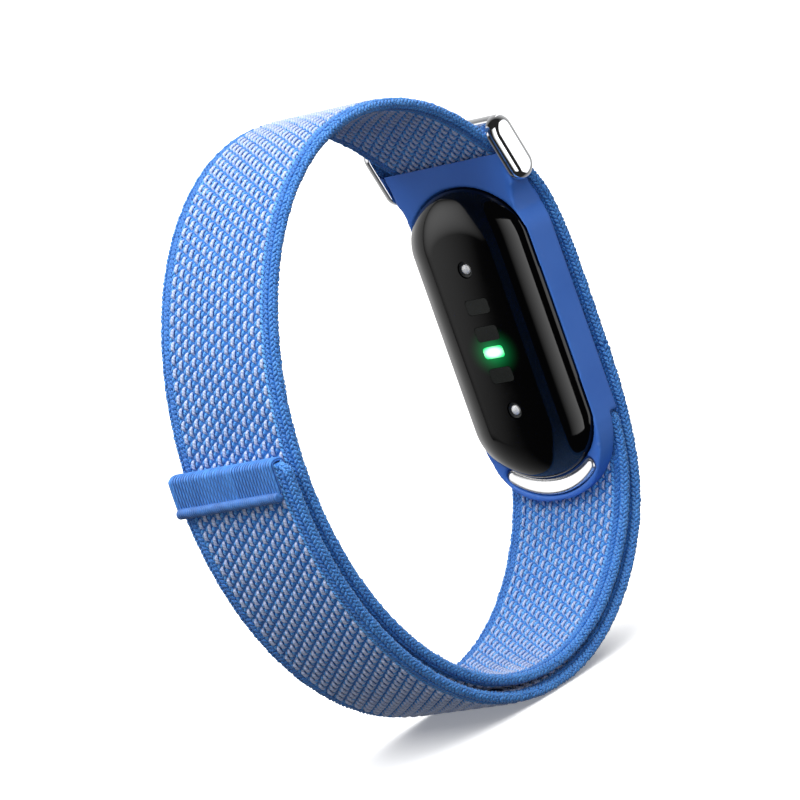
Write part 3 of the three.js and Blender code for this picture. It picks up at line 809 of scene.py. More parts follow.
# ---------------------------------------------------------------- the strap's route
@dataclass
class StrapRoute:
    """The line that the middle of the strap follows, seen along the wrist, with its distances."""

    loop_width: float = 57.5
    loop_height: float = 72.2
    thickness: float = 1.5
    layer_gap: float = 0.7
    lying_gap: float = 0.2
    tail_turn: float = 176.0
    hinge_turn: float = -118.0
    back_x: float = 27.8
    crown: float = 1.2
    rim_x: float = 22.2
    pod_top: float = 20.8
    pod_middle: float = 1.15
    lip_z: float = 24.2
    start_drop: float = 13.6
    start_proud: float = 0.25
    start_meets_turn: float = -46.0
    lip_lead_turn: float = 54.0
    outer_meets_turn: float = -44.0
    lip_slope: float = -42.0
    lip_inset: float = 0.5
    back_slope: float = -80.0
    back_inset: float = 0.6
    back_fall: float = 5.5
    middle_drop: float = 3.0
    samples: int = 6000

    def __post_init__(self) -> None:
        """Lays the route and measures it."""
        points = self._lay()
        step = np.linalg.norm(np.diff(points, axis=0), axis=1)
        self.distance = np.concatenate([[0], np.cumsum(step)])
        self.length = float(self.distance[-1])
        even = np.linspace(0, self.length, self.samples)
        self.points = np.column_stack([np.interp(even, self.distance, points[:, k]) for k in (0, 1)])
        self.distance = even
        heading = np.gradient(self.points, axis=0)
        heading /= np.linalg.norm(heading, axis=1, keepdims=True)
        kernel = np.hanning(41) / np.hanning(41).sum()
        padded = np.pad(heading, ((20, 20), (0, 0)), mode="edge")
        heading = np.column_stack([np.convolve(padded[:, k], kernel, mode="valid") for k in (0, 1)])
        self.heading = heading / np.linalg.norm(heading, axis=1, keepdims=True)

    def ellipse(self, outer: bool) -> np.ndarray:
        """Half-axes of the inner or the outer turn, at the strap's middle."""
        half = np.array([self.loop_width + self.thickness, self.loop_height + self.thickness]) / 2
        return half + (self.thickness + self.layer_gap if outer else 0)

    def _turn(self, outer: bool, start: float, end: float) -> np.ndarray:
        """Points round one turn, clockwise.

        Args:
            outer: whether it is the outer turn.
            start: the turn it starts at, in degrees.
            end: the turn it ends at.

        Returns:
            One (x, z) row for each point.
        """
        if end > start:
            end -= 360
        angle = np.radians(np.linspace(start, end, 900))
        return np.column_stack([np.cos(angle), np.sin(angle)]) * self.ellipse(outer)

    def _heading(self, outer: bool, turn: float) -> np.ndarray:
        """Heading of the strap at a turn.

        Args:
            outer: whether it is the outer turn.
            turn: the turn, in degrees.

        Returns:
            The unit heading.
        """
        a, b = self.ellipse(outer)
        way = np.array([a * math.sin(math.radians(turn)), -b * math.cos(math.radians(turn))])
        return way / np.linalg.norm(way)

    @staticmethod
    def _direction(degrees: float) -> np.ndarray:
        """A unit direction by its turn from X."""
        return np.array([math.cos(math.radians(degrees)), math.sin(math.radians(degrees))])

    @staticmethod
    def _bend(start: np.ndarray, start_way: np.ndarray, end: np.ndarray, end_way: np.ndarray) -> np.ndarray:
        """Points of a smooth bend between two points and headings.

        Args:
            start: where it starts.
            start_way: its heading there.
            end: where it ends.
            end_way: its heading there.

        Returns:
            One (x, z) row for each point.
        """
        reach = np.linalg.norm(end - start) / 3
        first, second = start + start_way * reach, end - end_way * reach
        t = np.linspace(0, 1, 400)[:, None]
        return (1 - t) ** 3 * start + 3 * t * (1 - t) ** 2 * first + 3 * t**2 * (1 - t) * second + t**3 * end

    def _lay(self) -> np.ndarray:
        """Lays the whole route from the start under the pod to the tail.

        Returns:
            One (x, z) row for each point.
        """
        half, down = self.thickness / 2, np.array([0.0, -1.0])
        start_x = self.back_x - self.crown - half + self.start_proud
        start = np.array([start_x, self.pod_middle - self.start_drop])
        over_x = self.back_x + self.lying_gap + half
        lip_way, lip_out = self._direction(self.lip_slope), self._direction(self.lip_slope + 90)
        lip = np.array([self.rim_x - self.lip_inset, self.lip_z]) + lip_out * (half + self.lying_gap)
        back_way = self._direction(self.back_slope)
        back = np.array([over_x - self.back_inset, self.pod_top - self.back_fall])
        middle = np.array([over_x, self.pod_middle - self.middle_drop])
        first = self._turn(False, self.start_meets_turn, self.lip_lead_turn)
        second = self._turn(True, self.outer_meets_turn, self.tail_turn)
        pieces = [
            self._bend(start, down, first[0], self._heading(False, self.start_meets_turn)),
            first,
            self._bend(first[-1], self._heading(False, self.lip_lead_turn), lip, lip_way),
            self._bend(lip, lip_way, back, back_way),
            self._bend(back, back_way, middle, down),
            self._bend(middle, down, second[0], self._heading(True, self.outer_meets_turn)),
            second,
        ]
        return np.concatenate([pieces[0]] + [piece[1:] for piece in pieces[1:]])

    def at(self, distance: np.ndarray, side: np.ndarray, height: np.ndarray) -> np.ndarray:
        """Points of the strap's own space in the model's frame.

        Args:
            distance: how far along the route.
            side: how far across, along Y.
            height: how far outside the strap's middle.

        Returns:
            One (x, y, z) row for each point.
        """
        x, z, hx, hz = (
            np.interp(distance, self.distance, column)
            for column in (self.points[:, 0], self.points[:, 1], self.heading[:, 0], self.heading[:, 1])
        )
        past = distance - np.clip(distance, 0, self.length)
        return np.stack([x - hz * height + hx * past, side, z + hx * height + hz * past], -1)

    def rows(self, *grids: np.ndarray) -> np.ndarray:
        """The points of grids of distance, side and height, one row each."""
        return self.at(*(grid.ravel() for grid in np.broadcast_arrays(*grids)))

    def near(self, x: float, z: float, low: float, high: float) -> float:
        """The distance that comes nearest a point, between two shares of the length.

        Args:
            x: the point's x.
            z: the point's z.
            low: the lower share.
            high: the higher share.

        Returns:
            The distance along the route.
        """
        inside = (self.distance > low * self.length) & (self.distance < high * self.length)
        gap = np.hypot(self.points[:, 0] - x, self.points[:, 1] - z)
        return float(self.distance[np.argmin(np.where(inside, gap, np.inf))])


# ---------------------------------------------------------------- the woven strap
class StrapSlot(Enum):
    """The strap's material slots."""

    CORE = 0
    LIGHT = 1
    BLUE = 2
    MARGIN = 3
    EDGE = 4


@dataclass
class WovenStrap:
    """The webbing: a core, light warp floats, blue weft loops, knotted margins and wrapped edges."""

    route: StrapRoute
    materials: list
    half_width: float = 10.0
    columns: int = 13
    pitch: float = 1.163
    period: float = 1.62
    wave: float = 0.05
    dip: float = 0.23
    crest_sharpness: float = 2.6
    crest_bias: float = 1.5
    inner_float_share: float = 0.68
    rings_per_period: int = 12
    light_half: tuple = (0.27, 0.19)
    outer_loop: tuple = (0.36, 0.25, 0.24)
    inner_loop: tuple = (0.46, 0.35, 0.27)
    loop_step: float = 0.38
    loop_tilt: float = 0.12
    loop_shift: float = 0.05
    loop_jitter: float = 0.035
    loop_end_margin: float = 0.3
    knot_half: tuple = (0.4, 0.23, 0.2)
    knot_pitch: float = 0.6
    knot_jitter: float = 0.03
    margin_lean: float = 34.0
    edge_lean: float = 36.0
    margin_rows: tuple = (7.98, 8.5)
    margin_proud: float = 0.05
    edge_turns: tuple = (-92, -56, -19, 19, 56, 92)
    edge_depth: float = 1.0
    edge_rise: float = 0.58
    start_corner: float = 1.2
    tail_corner: float = 1.6
    surface: float = 0.5
    yarn_sides: int = 6
    well_inside: float = 50.0

    def inset_at(self, distance: np.ndarray) -> np.ndarray:
        """Half the strap's width at a distance, with its rounded corners.

        Args:
            distance: how far along the route.

        Returns:
            The half width at each distance.
        """
        width = np.full_like(distance, self.half_width, dtype=float)
        for corner, away in ((self.start_corner, distance), (self.tail_corner, self.route.length - distance)):
            left = np.clip(corner - away, 0, corner)
            width -= corner - np.sqrt(corner**2 - left**2)
        return width

    def _tubes(self, parts: MeshParts, centre: tuple, half: tuple, slot: StrapSlot) -> None:
        """Adds tubes that run along the strap.

        Args:
            parts: where they go.
            centre: distance, side and height of each ring, each an array of tubes by rings.
            half: half-width and half-height of each ring.
            slot: the tubes' material.
        """
        angle = circle(self.yarn_sides)
        along, across, up = (value[..., None] for value in centre)
        side = across + half[0][..., None] * np.cos(angle)
        height = up + half[1][..., None] * np.sin(angle)
        far, turn, _ = np.broadcast_arrays(along, angle / (2 * math.pi), side)
        faces = ring_faces(side.shape[0], side.shape[1], self.yarn_sides)
        uv = np.column_stack([far.ravel(), turn.ravel()])
        parts.add(self.route.rows(far, side, height), faces, slot.value, uv)

    def _light_floats(self, parts: MeshParts, start: float, end: float) -> None:
        """Adds the light yarns that wave between the blue loops, on both faces.

        Args:
            parts: where the faces go.
            start: where the stretch starts along the route.
            end: where it ends.
        """
        steps = int(round((end - start) / self.period * self.rings_per_period))
        along = np.linspace(start, end, steps + 1)
        lines = (np.arange(self.columns + 1) - self.columns / 2) * self.pitch
        for face in (1, -1):
            phase = (np.arange(len(lines)) % 2)[:, None] * 0.5
            turn = 2 * math.pi * (along[None, :] / self.period - phase)
            side = lines[:, None] + self.wave * np.cos(turn) * face
            crest = np.tanh(self.crest_sharpness * np.sin(turn) + self.crest_bias)
            height = face * (self.surface + self.dip * crest)
            rise = 0.5 + 0.5 * crest
            width = self.light_half[0] * (1.0 if face > 0 else self.inner_float_share)
            half = (width * (0.35 + 0.65 * rise), self.light_half[1] * (0.7 + 0.3 * rise))
            self._tubes(parts, (np.broadcast_to(along, side.shape), side, height), half, StrapSlot.LIGHT)

    def _beads(self, parts: MeshParts, middles: tuple, half: tuple, tilt: float) -> None:
        """Adds short rounded loops of blue yarn.

        Args:
            parts: where they go.
            middles: distance, side and height of each loop's middle.
            half: half-length, half-width and half-height.
            tilt: how far a loop leans across over its half-length.
        """
        share = np.array([-0.96, -0.66, 0.0, 0.66, 0.96])
        swell = np.sqrt(1 - share**2)
        along = middles[0][:, None] + share * half[0]
        side = middles[1][:, None] + share * tilt
        height = np.broadcast_to(middles[2][:, None], along.shape)
        width, thick = (np.broadcast_to(swell * size, along.shape) for size in half[1:])
        self._tubes(parts, (along, side, height), (width, thick), StrapSlot.BLUE)

    def _blue_loops(self, parts: MeshParts, start: float, end: float) -> None:
        """Adds the blue loops that fill the openings between the light yarns.

        Args:
            parts: where the faces go.
            start: where the stretch starts along the route.
            end: where it ends.
        """
        rng = np.random.default_rng(11)
        lines = (np.arange(self.columns) - (self.columns - 1) / 2) * self.pitch
        for face in (1, -1):
            for number, line in enumerate(lines):
                first = math.ceil(start / self.period - 1) - 1
                turns = np.arange(first, math.floor(end / self.period) + 2)
                shift = 0.0 if (number % 2 == 0) == (face == 1) else 0.5
                along = (turns + 0.5 + shift) * self.period
                along = along[(along > start + self.loop_end_margin) & (along < end - self.loop_end_margin)]
                half = self.outer_loop if face > 0 else self.inner_loop
                for step in (-1, 1):
                    jitter = rng.normal(0, self.loop_jitter, (3, len(along)))
                    height = np.full(len(along), face * self.surface) + jitter[1]
                    far = along + step * self.loop_step + jitter[2]
                    middles = (far, line + self.loop_shift * step * face + jitter[0], height)
                    self._beads(parts, middles, half, -self.loop_tilt * face)

    def _knots(
        self, parts: MeshParts, middle: np.ndarray, along: np.ndarray, normal: np.ndarray, slot: StrapSlot
    ) -> None:
        """Adds short knots of yarn that lie any way in the strap's space.

        Args:
            parts: where they go.
            middle: each knot's middle as distance, side and height.
            along: each knot's long direction.
            normal: the way out of the strap at each knot.
            slot: the knots' material.
        """
        if not len(middle):
            return
        share = np.array([-0.97, -0.7, 0.0, 0.7, 0.97])
        swell = np.sqrt(1 - share**2)
        angle = circle(self.yarn_sides)
        across = np.cross(normal, along)
        length, width, thick = self.knot_half
        spine = middle[:, None, :] + along[:, None, :] * (share * length)[None, :, None]
        ring = (
            across[:, None, None, :] * (swell[:, None] * width * np.cos(angle))[None, ..., None]
            + normal[:, None, None, :] * (swell[:, None] * thick * np.sin(angle))[None, ..., None]
        )
        points = spine[:, :, None, :] + ring
        reach = (share * length)[None, :, None] + middle[:, None, None, 0]
        reach, turn, _ = np.broadcast_arrays(reach, angle / (2 * math.pi), points[..., 0])
        uv = np.column_stack([reach.ravel(), turn.ravel()])
        faces = ring_faces(len(middle), len(share), self.yarn_sides)
        parts.add(self.route.rows(*np.moveaxis(points, -1, 0)), faces, slot.value, uv)

    def _margins(self, parts: MeshParts, start: float, end: float) -> None:
        """Adds the tight rows of knots between the pattern and the edge.

        Args:
            parts: where the faces go.
            start: where the stretch starts along the route.
            end: where it ends.
        """
        rng = np.random.default_rng(12)
        for face in (1, -1):
            for hand in (1, -1):
                for number, column in enumerate(self.margin_rows):
                    along = np.arange(start + 0.3, end - 0.2, self.knot_pitch)
                    along = along + (number % 2) * self.knot_pitch / 2
                    along = along[self.inset_at(along) > column + 0.7]
                    lie = [hand * column, face * (self.surface + self.margin_proud)]
                    middle = np.column_stack([along, np.tile(lie, (len(along), 1))])
                    middle += rng.normal(0, self.knot_jitter, middle.shape)
                    lean = math.radians(self.margin_lean if number % 2 else -self.margin_lean) * hand * face
                    way = np.tile([math.cos(lean), math.sin(lean), 0.0], (len(along), 1))
                    normal = np.tile([0.0, 0.0, float(face)], (len(along), 1))
                    slot = StrapSlot.BLUE if number == 0 else StrapSlot.MARGIN
                    self._knots(parts, middle, way, normal, slot)

    def _outline(self, start: float, end: float) -> tuple:
        """Evenly spaced points round the strap's edge with their outward directions.

        Args:
            start: where the stretch starts along the route.
            end: where it ends.

        Returns:
            The points as (distance, side) rows and the outward directions.
        """
        runs = []
        for hand in (1, -1):
            along = np.linspace(start, end, int((end - start) / 0.05))
            side = hand * self.inset_at(along)
            runs.append(np.column_stack([along, side]))
        if start <= 0:
            low = self.inset_at(np.array([0.0]))[0]
            runs.append(np.column_stack([np.zeros(300), np.linspace(-low, low, 300)]))
        points, ways = [], []
        for run in runs:
            step = np.linalg.norm(np.diff(run, axis=0), axis=1)
            far = np.concatenate([[0], np.cumsum(step)])
            even = np.arange(self.knot_pitch / 2, far[-1], self.knot_pitch / 2)
            point = np.column_stack([np.interp(even, far, run[:, k]) for k in (0, 1)])
            ahead = np.column_stack([np.interp(even + 0.1, far, run[:, k]) for k in (0, 1)])
            behind = np.column_stack([np.interp(even - 0.1, far, run[:, k]) for k in (0, 1)])
            tangent = ahead - behind
            tangent /= np.linalg.norm(tangent, axis=1, keepdims=True)
            out = np.column_stack([tangent[:, 1], -tangent[:, 0]])
            across_start = len(runs) == 3 and run is runs[-1]
            inside = np.array([self.well_inside if across_start else (start + end) / 2, 0.0])
            flip = np.sign(np.sum(out * (point - inside), axis=1))
            points.append(point)
            ways.append(out * flip[:, None])
        return np.concatenate(points), np.concatenate(ways)

    def _edges(self, parts: MeshParts, start: float, end: float) -> None:
        """Adds the braided edge: staggered rows of slanted knots round the strap's rim.

        Args:
            parts: where the faces go.
            start: where the stretch starts along the route.
            end: where it ends.
        """
        points, ways = self._outline(start, end)
        rng = np.random.default_rng(13)
        for number, degrees in enumerate(self.edge_turns):
            angle = math.radians(degrees)
            row = slice(number % 2, None, 2)
            point, out = points[row], ways[row]
            tangent = np.column_stack([-out[:, 1], out[:, 0]])
            reach = math.copysign(abs(math.cos(angle)) ** 0.8, math.cos(angle))
            inwards = self.edge_depth * (reach - 1) - 0.1
            flat = point + out * inwards
            middle = np.column_stack([flat, np.full(len(flat), self.edge_rise * math.sin(angle))])
            middle += rng.normal(0, self.knot_jitter, middle.shape)
            rise = np.tile([0.0, 0.0, 1.0], (len(flat), 1))
            wide = np.column_stack([out, np.zeros(len(flat))])
            run = np.column_stack([tangent, np.zeros(len(flat))])
            normal = wide * math.cos(angle) + rise * math.sin(angle)
            climb = rise * math.cos(angle) - wide * math.sin(angle)
            lean = math.radians(self.edge_lean if number % 2 else -self.edge_lean)
            slot = StrapSlot.EDGE if abs(degrees) < 90 else StrapSlot.MARGIN
            self._knots(parts, middle, run * math.cos(lean) + climb * math.sin(lean), normal, slot)

    def _core(self, parts: MeshParts, start: float, end: float) -> None:
        """Adds the plain middle of the webbing, closed all round.

        Args:
            parts: where the faces go.
            start: where the stretch starts along the route.
            end: where it ends.
        """
        along = np.linspace(start, end, max(8, int((end - start) / 0.5)))
        section = [(-1, 0), (-0.985, 0.3), (-0.95, 0.5), (0.95, 0.5), (0.985, 0.3)]
        section += [(-across, -up) for across, up in section]
        share = np.array(section)
        side = (self.inset_at(along) - 0.15)[:, None] * share[:, 0]
        points = self.route.rows(along[:, None], side, share[:, 1])
        parts.add(points, ring_faces(1, len(along), len(section)), StrapSlot.CORE.value)

    def build(self, name: str, start: float, end: float) -> bpy.types.Object:
        """Weaves one stretch of the strap.

        Args:
            name: the piece's name.
            start: where the stretch starts along the route.
            end: where it ends.

        Returns:
            The piece.
        """
        parts = MeshParts()
        self._core(parts, start, end)
        self._light_floats(parts, max(start, 0.5), min(end, self.route.length - 0.5))
        self._blue_loops(parts, start, end)
        self._margins(parts, start, end)
        self._edges(parts, start, end)
        piece = parts.make(name, *self.materials)
        log.info("%s: %d faces", name, len(piece.data.polygons))
        return piece


# ---------------------------------------------------------------- the tail's trim
def sheet_faces(rows: int, cols: int) -> list:
    """Faces of a thick sheet whose outer grid of points comes before its inner grid.

    Args:
        rows: points one way.
        cols: points the other way.

    Returns:
        The outer face, the inner face and the four edges.
    """
    grid = np.arange(rows * cols).reshape(rows, cols)
    under = grid + rows * cols
    corners = [
        (grid[:-1, :-1], grid[:-1, 1:], grid[1:, 1:], grid[1:, :-1]),
        (under[:-1, :-1], under[1:, :-1], under[1:, 1:], under[:-1, 1:]),
        (grid[0, :-1], under[0, :-1], under[0, 1:], grid[0, 1:]),
        (grid[-1, :-1], grid[-1, 1:], under[-1, 1:], under[-1, :-1]),
        (grid[:-1, 0], grid[1:, 0], under[1:, 0], under[:-1, 0]),
        (grid[:-1, -1], under[:-1, -1], under[1:, -1], grid[1:, -1]),
    ]
    return [np.stack([corner.ravel() for corner in side], 1) for side in corners]


@dataclass
class TailTrim:
    """The hook tape inside the tail and the ribbed pull tab with its piping."""

    route: StrapRoute
    tape_length: float = 34.0
    tape_margin: float = 2.5
    tab_length: float = 3.2
    tab_inner_length: float = 2.2
    tab_thickness: float = 0.5
    near_margin: float = 1.9
    half_width: float = 10.0
    rib_pitch: float = 0.45
    rib_depth: float = 0.2
    piping_radius: float = 0.65
    winding_pitch: float = 0.36
    hook_pitch: float = 0.62

    def tape(self, finish: bpy.types.Material) -> bpy.types.Object:
        """The hook tape: a thin backing with rows of small hooks.

        Args:
            finish: the piece's material.

        Returns:
            The piece.
        """
        parts = MeshParts()
        top = -self.route.thickness / 2 - 0.05
        end = self.route.length - self.tab_inner_length - 0.3
        start = end - self.tape_length
        half = self.half_width - self.tape_margin
        along = np.linspace(start, end, 70)
        wall, back, flat = top - 0.18, top - 0.22, half - 0.1
        section = np.array([(-half, top), (half, top), (half, wall), (flat, back), (-flat, back), (-half, wall)])
        points = self.route.rows(along[:, None], section[:, 0], section[:, 1])
        parts.add(points, ring_faces(1, len(along), len(section)))
        rng = np.random.default_rng(21)
        spans = ((start, end), (-half, half))
        rows, cols = np.meshgrid(*(np.arange(low + 0.5, high - 0.4, self.hook_pitch) for low, high in spans))
        rows = (rows + (np.arange(cols.shape[0]) % 2)[:, None] * self.hook_pitch / 2).ravel()
        cols = cols.ravel() + rng.normal(0, 0.04, rows.size)
        rows = np.minimum(rows, end - 0.4)
        rise = np.array([-0.16, -0.3, -0.4, -0.45, -0.42, -0.34])
        lean = np.array([0.0, 0.02, 0.08, 0.2, 0.3, 0.33])
        radius = np.array([0.08, 0.07, 0.07, 0.07, 0.06, 0.03])
        sides = 5
        angle = circle(sides)
        hand = np.where(np.arange(rows.size) % 2, 1.0, -1.0)
        far = rows[:, None, None] + (hand[:, None] * lean)[..., None] + radius[:, None] * np.cos(angle)
        side = cols[:, None, None] + radius[:, None] * np.sin(angle)
        points = self.route.rows(far, side, top + rise[None, :, None])
        parts.add(points, ring_faces(rows.size, len(rise), sides))
        return parts.make("hook_fastening", finish)

    def _fold(self) -> tuple:
        """The ribbon's path round the strap's end; its outer leg reaches the piping.

        Returns:
            Distances, heights and the outward directions of the path.
        """
        reach = self.route.thickness / 2 + 0.1
        length = self.route.length
        bend, bulge = length - 0.1, 0.32
        outer = np.linspace(length - self.tab_length - 0.3, bend, 26)
        turn = np.linspace(math.pi / 2, -math.pi / 2, 20)[1:-1]
        inner = np.linspace(bend, length - self.tab_inner_length, 14)
        along = np.concatenate([outer, bend + bulge * np.cos(turn), inner])
        lies = [np.full(len(outer), reach), reach * np.sin(turn), np.full(len(inner), -reach)]
        height = np.concatenate(lies)
        tangent = np.gradient(np.column_stack([along, height]), axis=0)
        tangent /= np.linalg.norm(tangent, axis=1, keepdims=True)
        return along, height, np.column_stack([-tangent[:, 1], tangent[:, 0]])

    def tab(self, finish: bpy.types.Material, groove_shade_finish: bpy.types.Material) -> bpy.types.Object:
        """The ribbed ribbon folded over the strap's end, with painted shade in its grooves.

        Args:
            finish: the ribbon.
            groove_shade_finish: the ribbon in its grooves, darkened as painted shade.

        Returns:
            The piece.
        """
        along, height, out = self._fold()
        low, high = -self.half_width + self.near_margin, self.half_width
        count = int((high - low) / self.rib_pitch) * 8
        side = np.linspace(low, high, count + 1)
        rib = np.abs(np.sin(math.pi * (side - low) / self.rib_pitch)) ** 0.9
        edge = np.clip(np.minimum(side - low, high - side) / 0.25, 0, 1) ** 0.5
        thick = (self.tab_thickness - self.rib_depth) * (0.6 + 0.4 * edge) + self.rib_depth * rib
        outer_d = along[:, None] + out[:, :1] * thick
        outer_h = height[:, None] + out[:, 1:] * thick
        points = np.concatenate([
            self.route.rows(outer_d, side, outer_h), self.route.rows(along[:, None], side, height[:, None]),
        ])
        lengths, sides = np.broadcast_arrays(along[:, None], side)
        uv = np.tile(np.column_stack([lengths.ravel(), sides.ravel() * 0.8]), (2, 1))
        rows = len(along)
        between = (side[:-1] + side[1:]) / 2
        # the faces in the grooves take the darker ribbon: painted shade in the grooves
        groove = np.abs(np.sin(math.pi * (between - low) / self.rib_pitch)) < 0.45
        parts = MeshParts()
        parts.add(points, sheet_faces(rows, len(side)), [np.tile(groove.astype(int), rows - 1)] + [0] * 5, uv)
        return parts.make("ribbed_tab", finish, groove_shade_finish)

    def piping(self, finish: bpy.types.Material) -> bpy.types.Object:
        """The wrapped cord along the tab's free edge.

        Args:
            finish: the piece's material.

        Returns:
            The piece.
        """
        low, high = -self.half_width + self.near_margin, self.half_width - 0.3
        middle = self.route.length - self.tab_length - self.piping_radius - 0.05
        count = int((high - low) / self.winding_pitch) * 6
        side = np.linspace(low, high, count + 1)
        winding = np.abs(np.sin(math.pi * (side - low) / self.winding_pitch)) ** 0.5
        depth = 0.14
        radius = self.piping_radius - depth + depth * winding
        end = np.clip(np.minimum(side - low, high - side) / 0.4, 0.02, 1)
        radius = radius * np.sqrt(1 - (1 - end) ** 2)
        sides = 28
        angle = circle(sides)
        far = middle + radius[:, None] * np.cos(angle)
        height = self.route.thickness / 2 + 0.05 + self.piping_radius + radius[:, None] * np.sin(angle)
        across = side[:, None] + 0.12 * np.sin(angle)
        turned_by, wound_by = np.broadcast_arrays(angle / math.pi * 0.65, side[:, None] * 1.6)
        uv = np.column_stack([turned_by.ravel(), wound_by.ravel()])
        faces = reversed_faces(ring_faces(1, len(side), sides))
        parts = MeshParts()
        parts.add(self.route.rows(far, across, height), faces, 0, uv)
        return parts.make("tab_piping_cord", finish)


# ---------------------------------------------------------------- the pod
@dataclass
class Pod:
    """The sealed sensor pod: its outline, cover, pins and windows."""

    length: float = 39.3
    width: float = 19.4
    middle: float = 1.15
    end_length: float = 7.7
    face_x: float = 19.0
    rim_x: float = 22.2
    edge_spread: float = 5.2
    edge_rise: float = 2.75
    skin: float = 1.0
    wall: float = 2.6
    contact_radius: float = 0.65
    collar_width: float = 0.45
    contact_spacing: float = 19.2
    led: tuple = (3.4, 1.5, -1.6)
    windows: tuple = ((3.8, 2.0, 4.6), (3.8, 2.0, 0.95), (3.8, 2.0, -4.7))

    def outline(self, inset: float, count: int = 240) -> np.ndarray:
        """The pod's outline as (y, z) rows, inset from the cover's edge, counter-clockwise.

        Args:
            inset: how far inside the edge.
            count: points round it.

        Returns:
            One row for each point.
        """
        half = count // 2
        straight = self.length / 2 - self.end_length
        turns = np.concatenate([np.linspace(0, math.pi, half), np.linspace(math.pi, 2 * math.pi, half)])
        lift = np.concatenate([np.full(half, straight), np.full(half, -straight)])
        y = (self.width / 2 - inset) * np.cos(turns)
        z = (self.end_length - inset) * np.sin(turns) + lift + self.middle
        return np.column_stack([y, z])

    def contact_place(self, hand: int) -> np.ndarray:
        """Where a contact stands, above or below the pod's middle."""
        return np.array([0, 0, self.middle + hand * self.contact_spacing / 2])

    @staticmethod
    def _rounded(width: float, height: float, z: float) -> np.ndarray:
        """A rounded rectangle as (y, z) rows, counter-clockwise.

        Args:
            width: its width.
            height: its height.
            z: the height of its middle.

        Returns:
            One row for each point.
        """
        corner, rows = 0.5, []
        for k, (right, up) in enumerate(((1, 1), (-1, 1), (-1, -1), (1, -1))):
            turn = np.linspace(k, k + 1, 9) * math.pi / 2
            u = right * (width / 2 - corner) + corner * np.cos(turn)
            v = up * (height / 2 - corner) + corner * np.sin(turn)
            rows.append(np.column_stack([u, v + z]))
        return np.concatenate(rows)

    def cover(self, finish: bpy.types.Material) -> bpy.types.Object:
        """The gloss cover: a rounded shell with openings for its windows and pins.

        Args:
            finish: the piece's material.

        Returns:
            The piece.
        """
        places = [(0.0, self.rim_x)]
        for t in np.linspace(0, math.pi / 2, 41):
            inset, fall = self.edge_spread * (1 - math.cos(t)), self.edge_rise * (1 - math.sin(t))
            places.append((inset, self.face_x + fall))
        places.append((self.edge_spread + 0.05, self.face_x))
        rings = [np.column_stack([self.outline(inset), np.full(240, x)]) for inset, x in places]
        shell = along_x(np.concatenate(rings[::-1]))
        piece = solid("gloss_cover", shell, ring_faces(1, len(rings), 240), finish)
        low, high = self.face_x - 1, self.face_x + self.skin + 0.5
        cutters = [self._cutter(self.outline(self.wall, 96), self.face_x + self.skin, self.rim_x + 1)]
        for width, height, z in (self.led, *self.windows):
            clearance = 0.1
            cutters.append(self._cutter(
                self._rounded(width + clearance, height + clearance, self.middle + z), low, high
            ))
        for hand in (1, -1):
            r = self.contact_radius + self.collar_width + 0.05
            points, faces = turned([(r, low), (r, high)])
            cutters.append(solid("cutter", along_x(points) + self.contact_place(hand), faces))
        carve(piece, cutters)
        return piece

    @staticmethod
    def _cutter(outline: np.ndarray, low: float, high: float) -> bpy.types.Object:
        """A straight body over a (y, z) outline, used only to cut the cover."""
        body = np.concatenate([np.column_stack([outline, np.full(len(outline), x)]) for x in (low, high)])
        return solid("cutter", along_x(body), ring_faces(1, 2, len(outline)))

    def pin(self, name: str, hand: int, metal: bpy.types.Material) -> bpy.types.Object:
        """One charging contact: a turned pin with a dished, bevelled end.

        Args:
            name: the piece's name.
            hand: 1 for the upper contact, -1 for the lower.
            metal: the piece's material.

        Returns:
            The piece.
        """
        r = self.contact_radius
        low = self.face_x + 0.1
        profile = [(0.02, low - 0.09), (r * 0.3, low - 0.075), (r * 0.6, low - 0.03), (r * 0.85, low + 0.05)]
        profile += [(r, low + 0.14), (r, self.rim_x - 1.05), (0.02, self.rim_x - 1.05)]
        points, faces = turned(profile)
        return solid(name, along_x(points) + self.contact_place(hand), faces, metal)

    def collar(self, name: str, hand: int, plastic: bpy.types.Material) -> bpy.types.Object:
        """The dark ring sunk round one contact.

        Args:
            name: the piece's name.
            hand: 1 for the upper contact, -1 for the lower.
            plastic: the piece's material.

        Returns:
            The piece.
        """
        inner, outer = self.contact_radius + 0.05, self.contact_radius + self.collar_width
        top, low = self.face_x + 0.3, self.face_x + self.skin
        sides = 56
        loop = [(inner, low), (inner, top + 0.08), (inner + 0.06, top)]
        loop += [(outer - 0.08, top - 0.12), (outer, top - 0.1), (outer, low)]
        quads = ring_faces(1, len(loop), sides, closed_ends=False)
        first = np.arange(sides)
        after, last = (first + 1) % sides, (len(loop) - 1) * sides
        close = np.stack([last + first, last + after, after, first], 1)
        points = along_x(turned_rings(loop, sides)) + self.contact_place(hand)
        return solid(name, points, reversed_faces([*quads, close]), plastic)


def carve(piece: bpy.types.Object, cutters: list) -> None:
    """Cuts bodies out of a piece and removes them.

    Args:
        piece: the piece to cut.
        cutters: the bodies to take away.
    """
    for cutter in cutters:
        step = piece.modifiers.new("cut", "BOOLEAN")
        step.operation, step.solver, step.object = "DIFFERENCE", "EXACT", cutter
    bake_modifiers(piece)
    for cutter in cutters:
        bpy.data.objects.remove(cutter)
    shade_smooth(piece)
    piece.data.set_sharp_from_angle(angle=math.radians(32))


def shade_smooth(piece: bpy.types.Object) -> None:
    """Shades every face of a piece smooth."""
    piece.data.polygons.foreach_set("use_smooth", np.ones(len(piece.data.polygons), bool))


def bake_modifiers(piece: bpy.types.Object) -> None:
    """Turns a piece's modifiers into its mesh.

    Args:
        piece: the piece.
    """
    graph = bpy.context.evaluated_depsgraph_get()
    made = bpy.data.meshes.new_from_object(piece.evaluated_get(graph))
    piece.modifiers.clear()
    piece.data = made


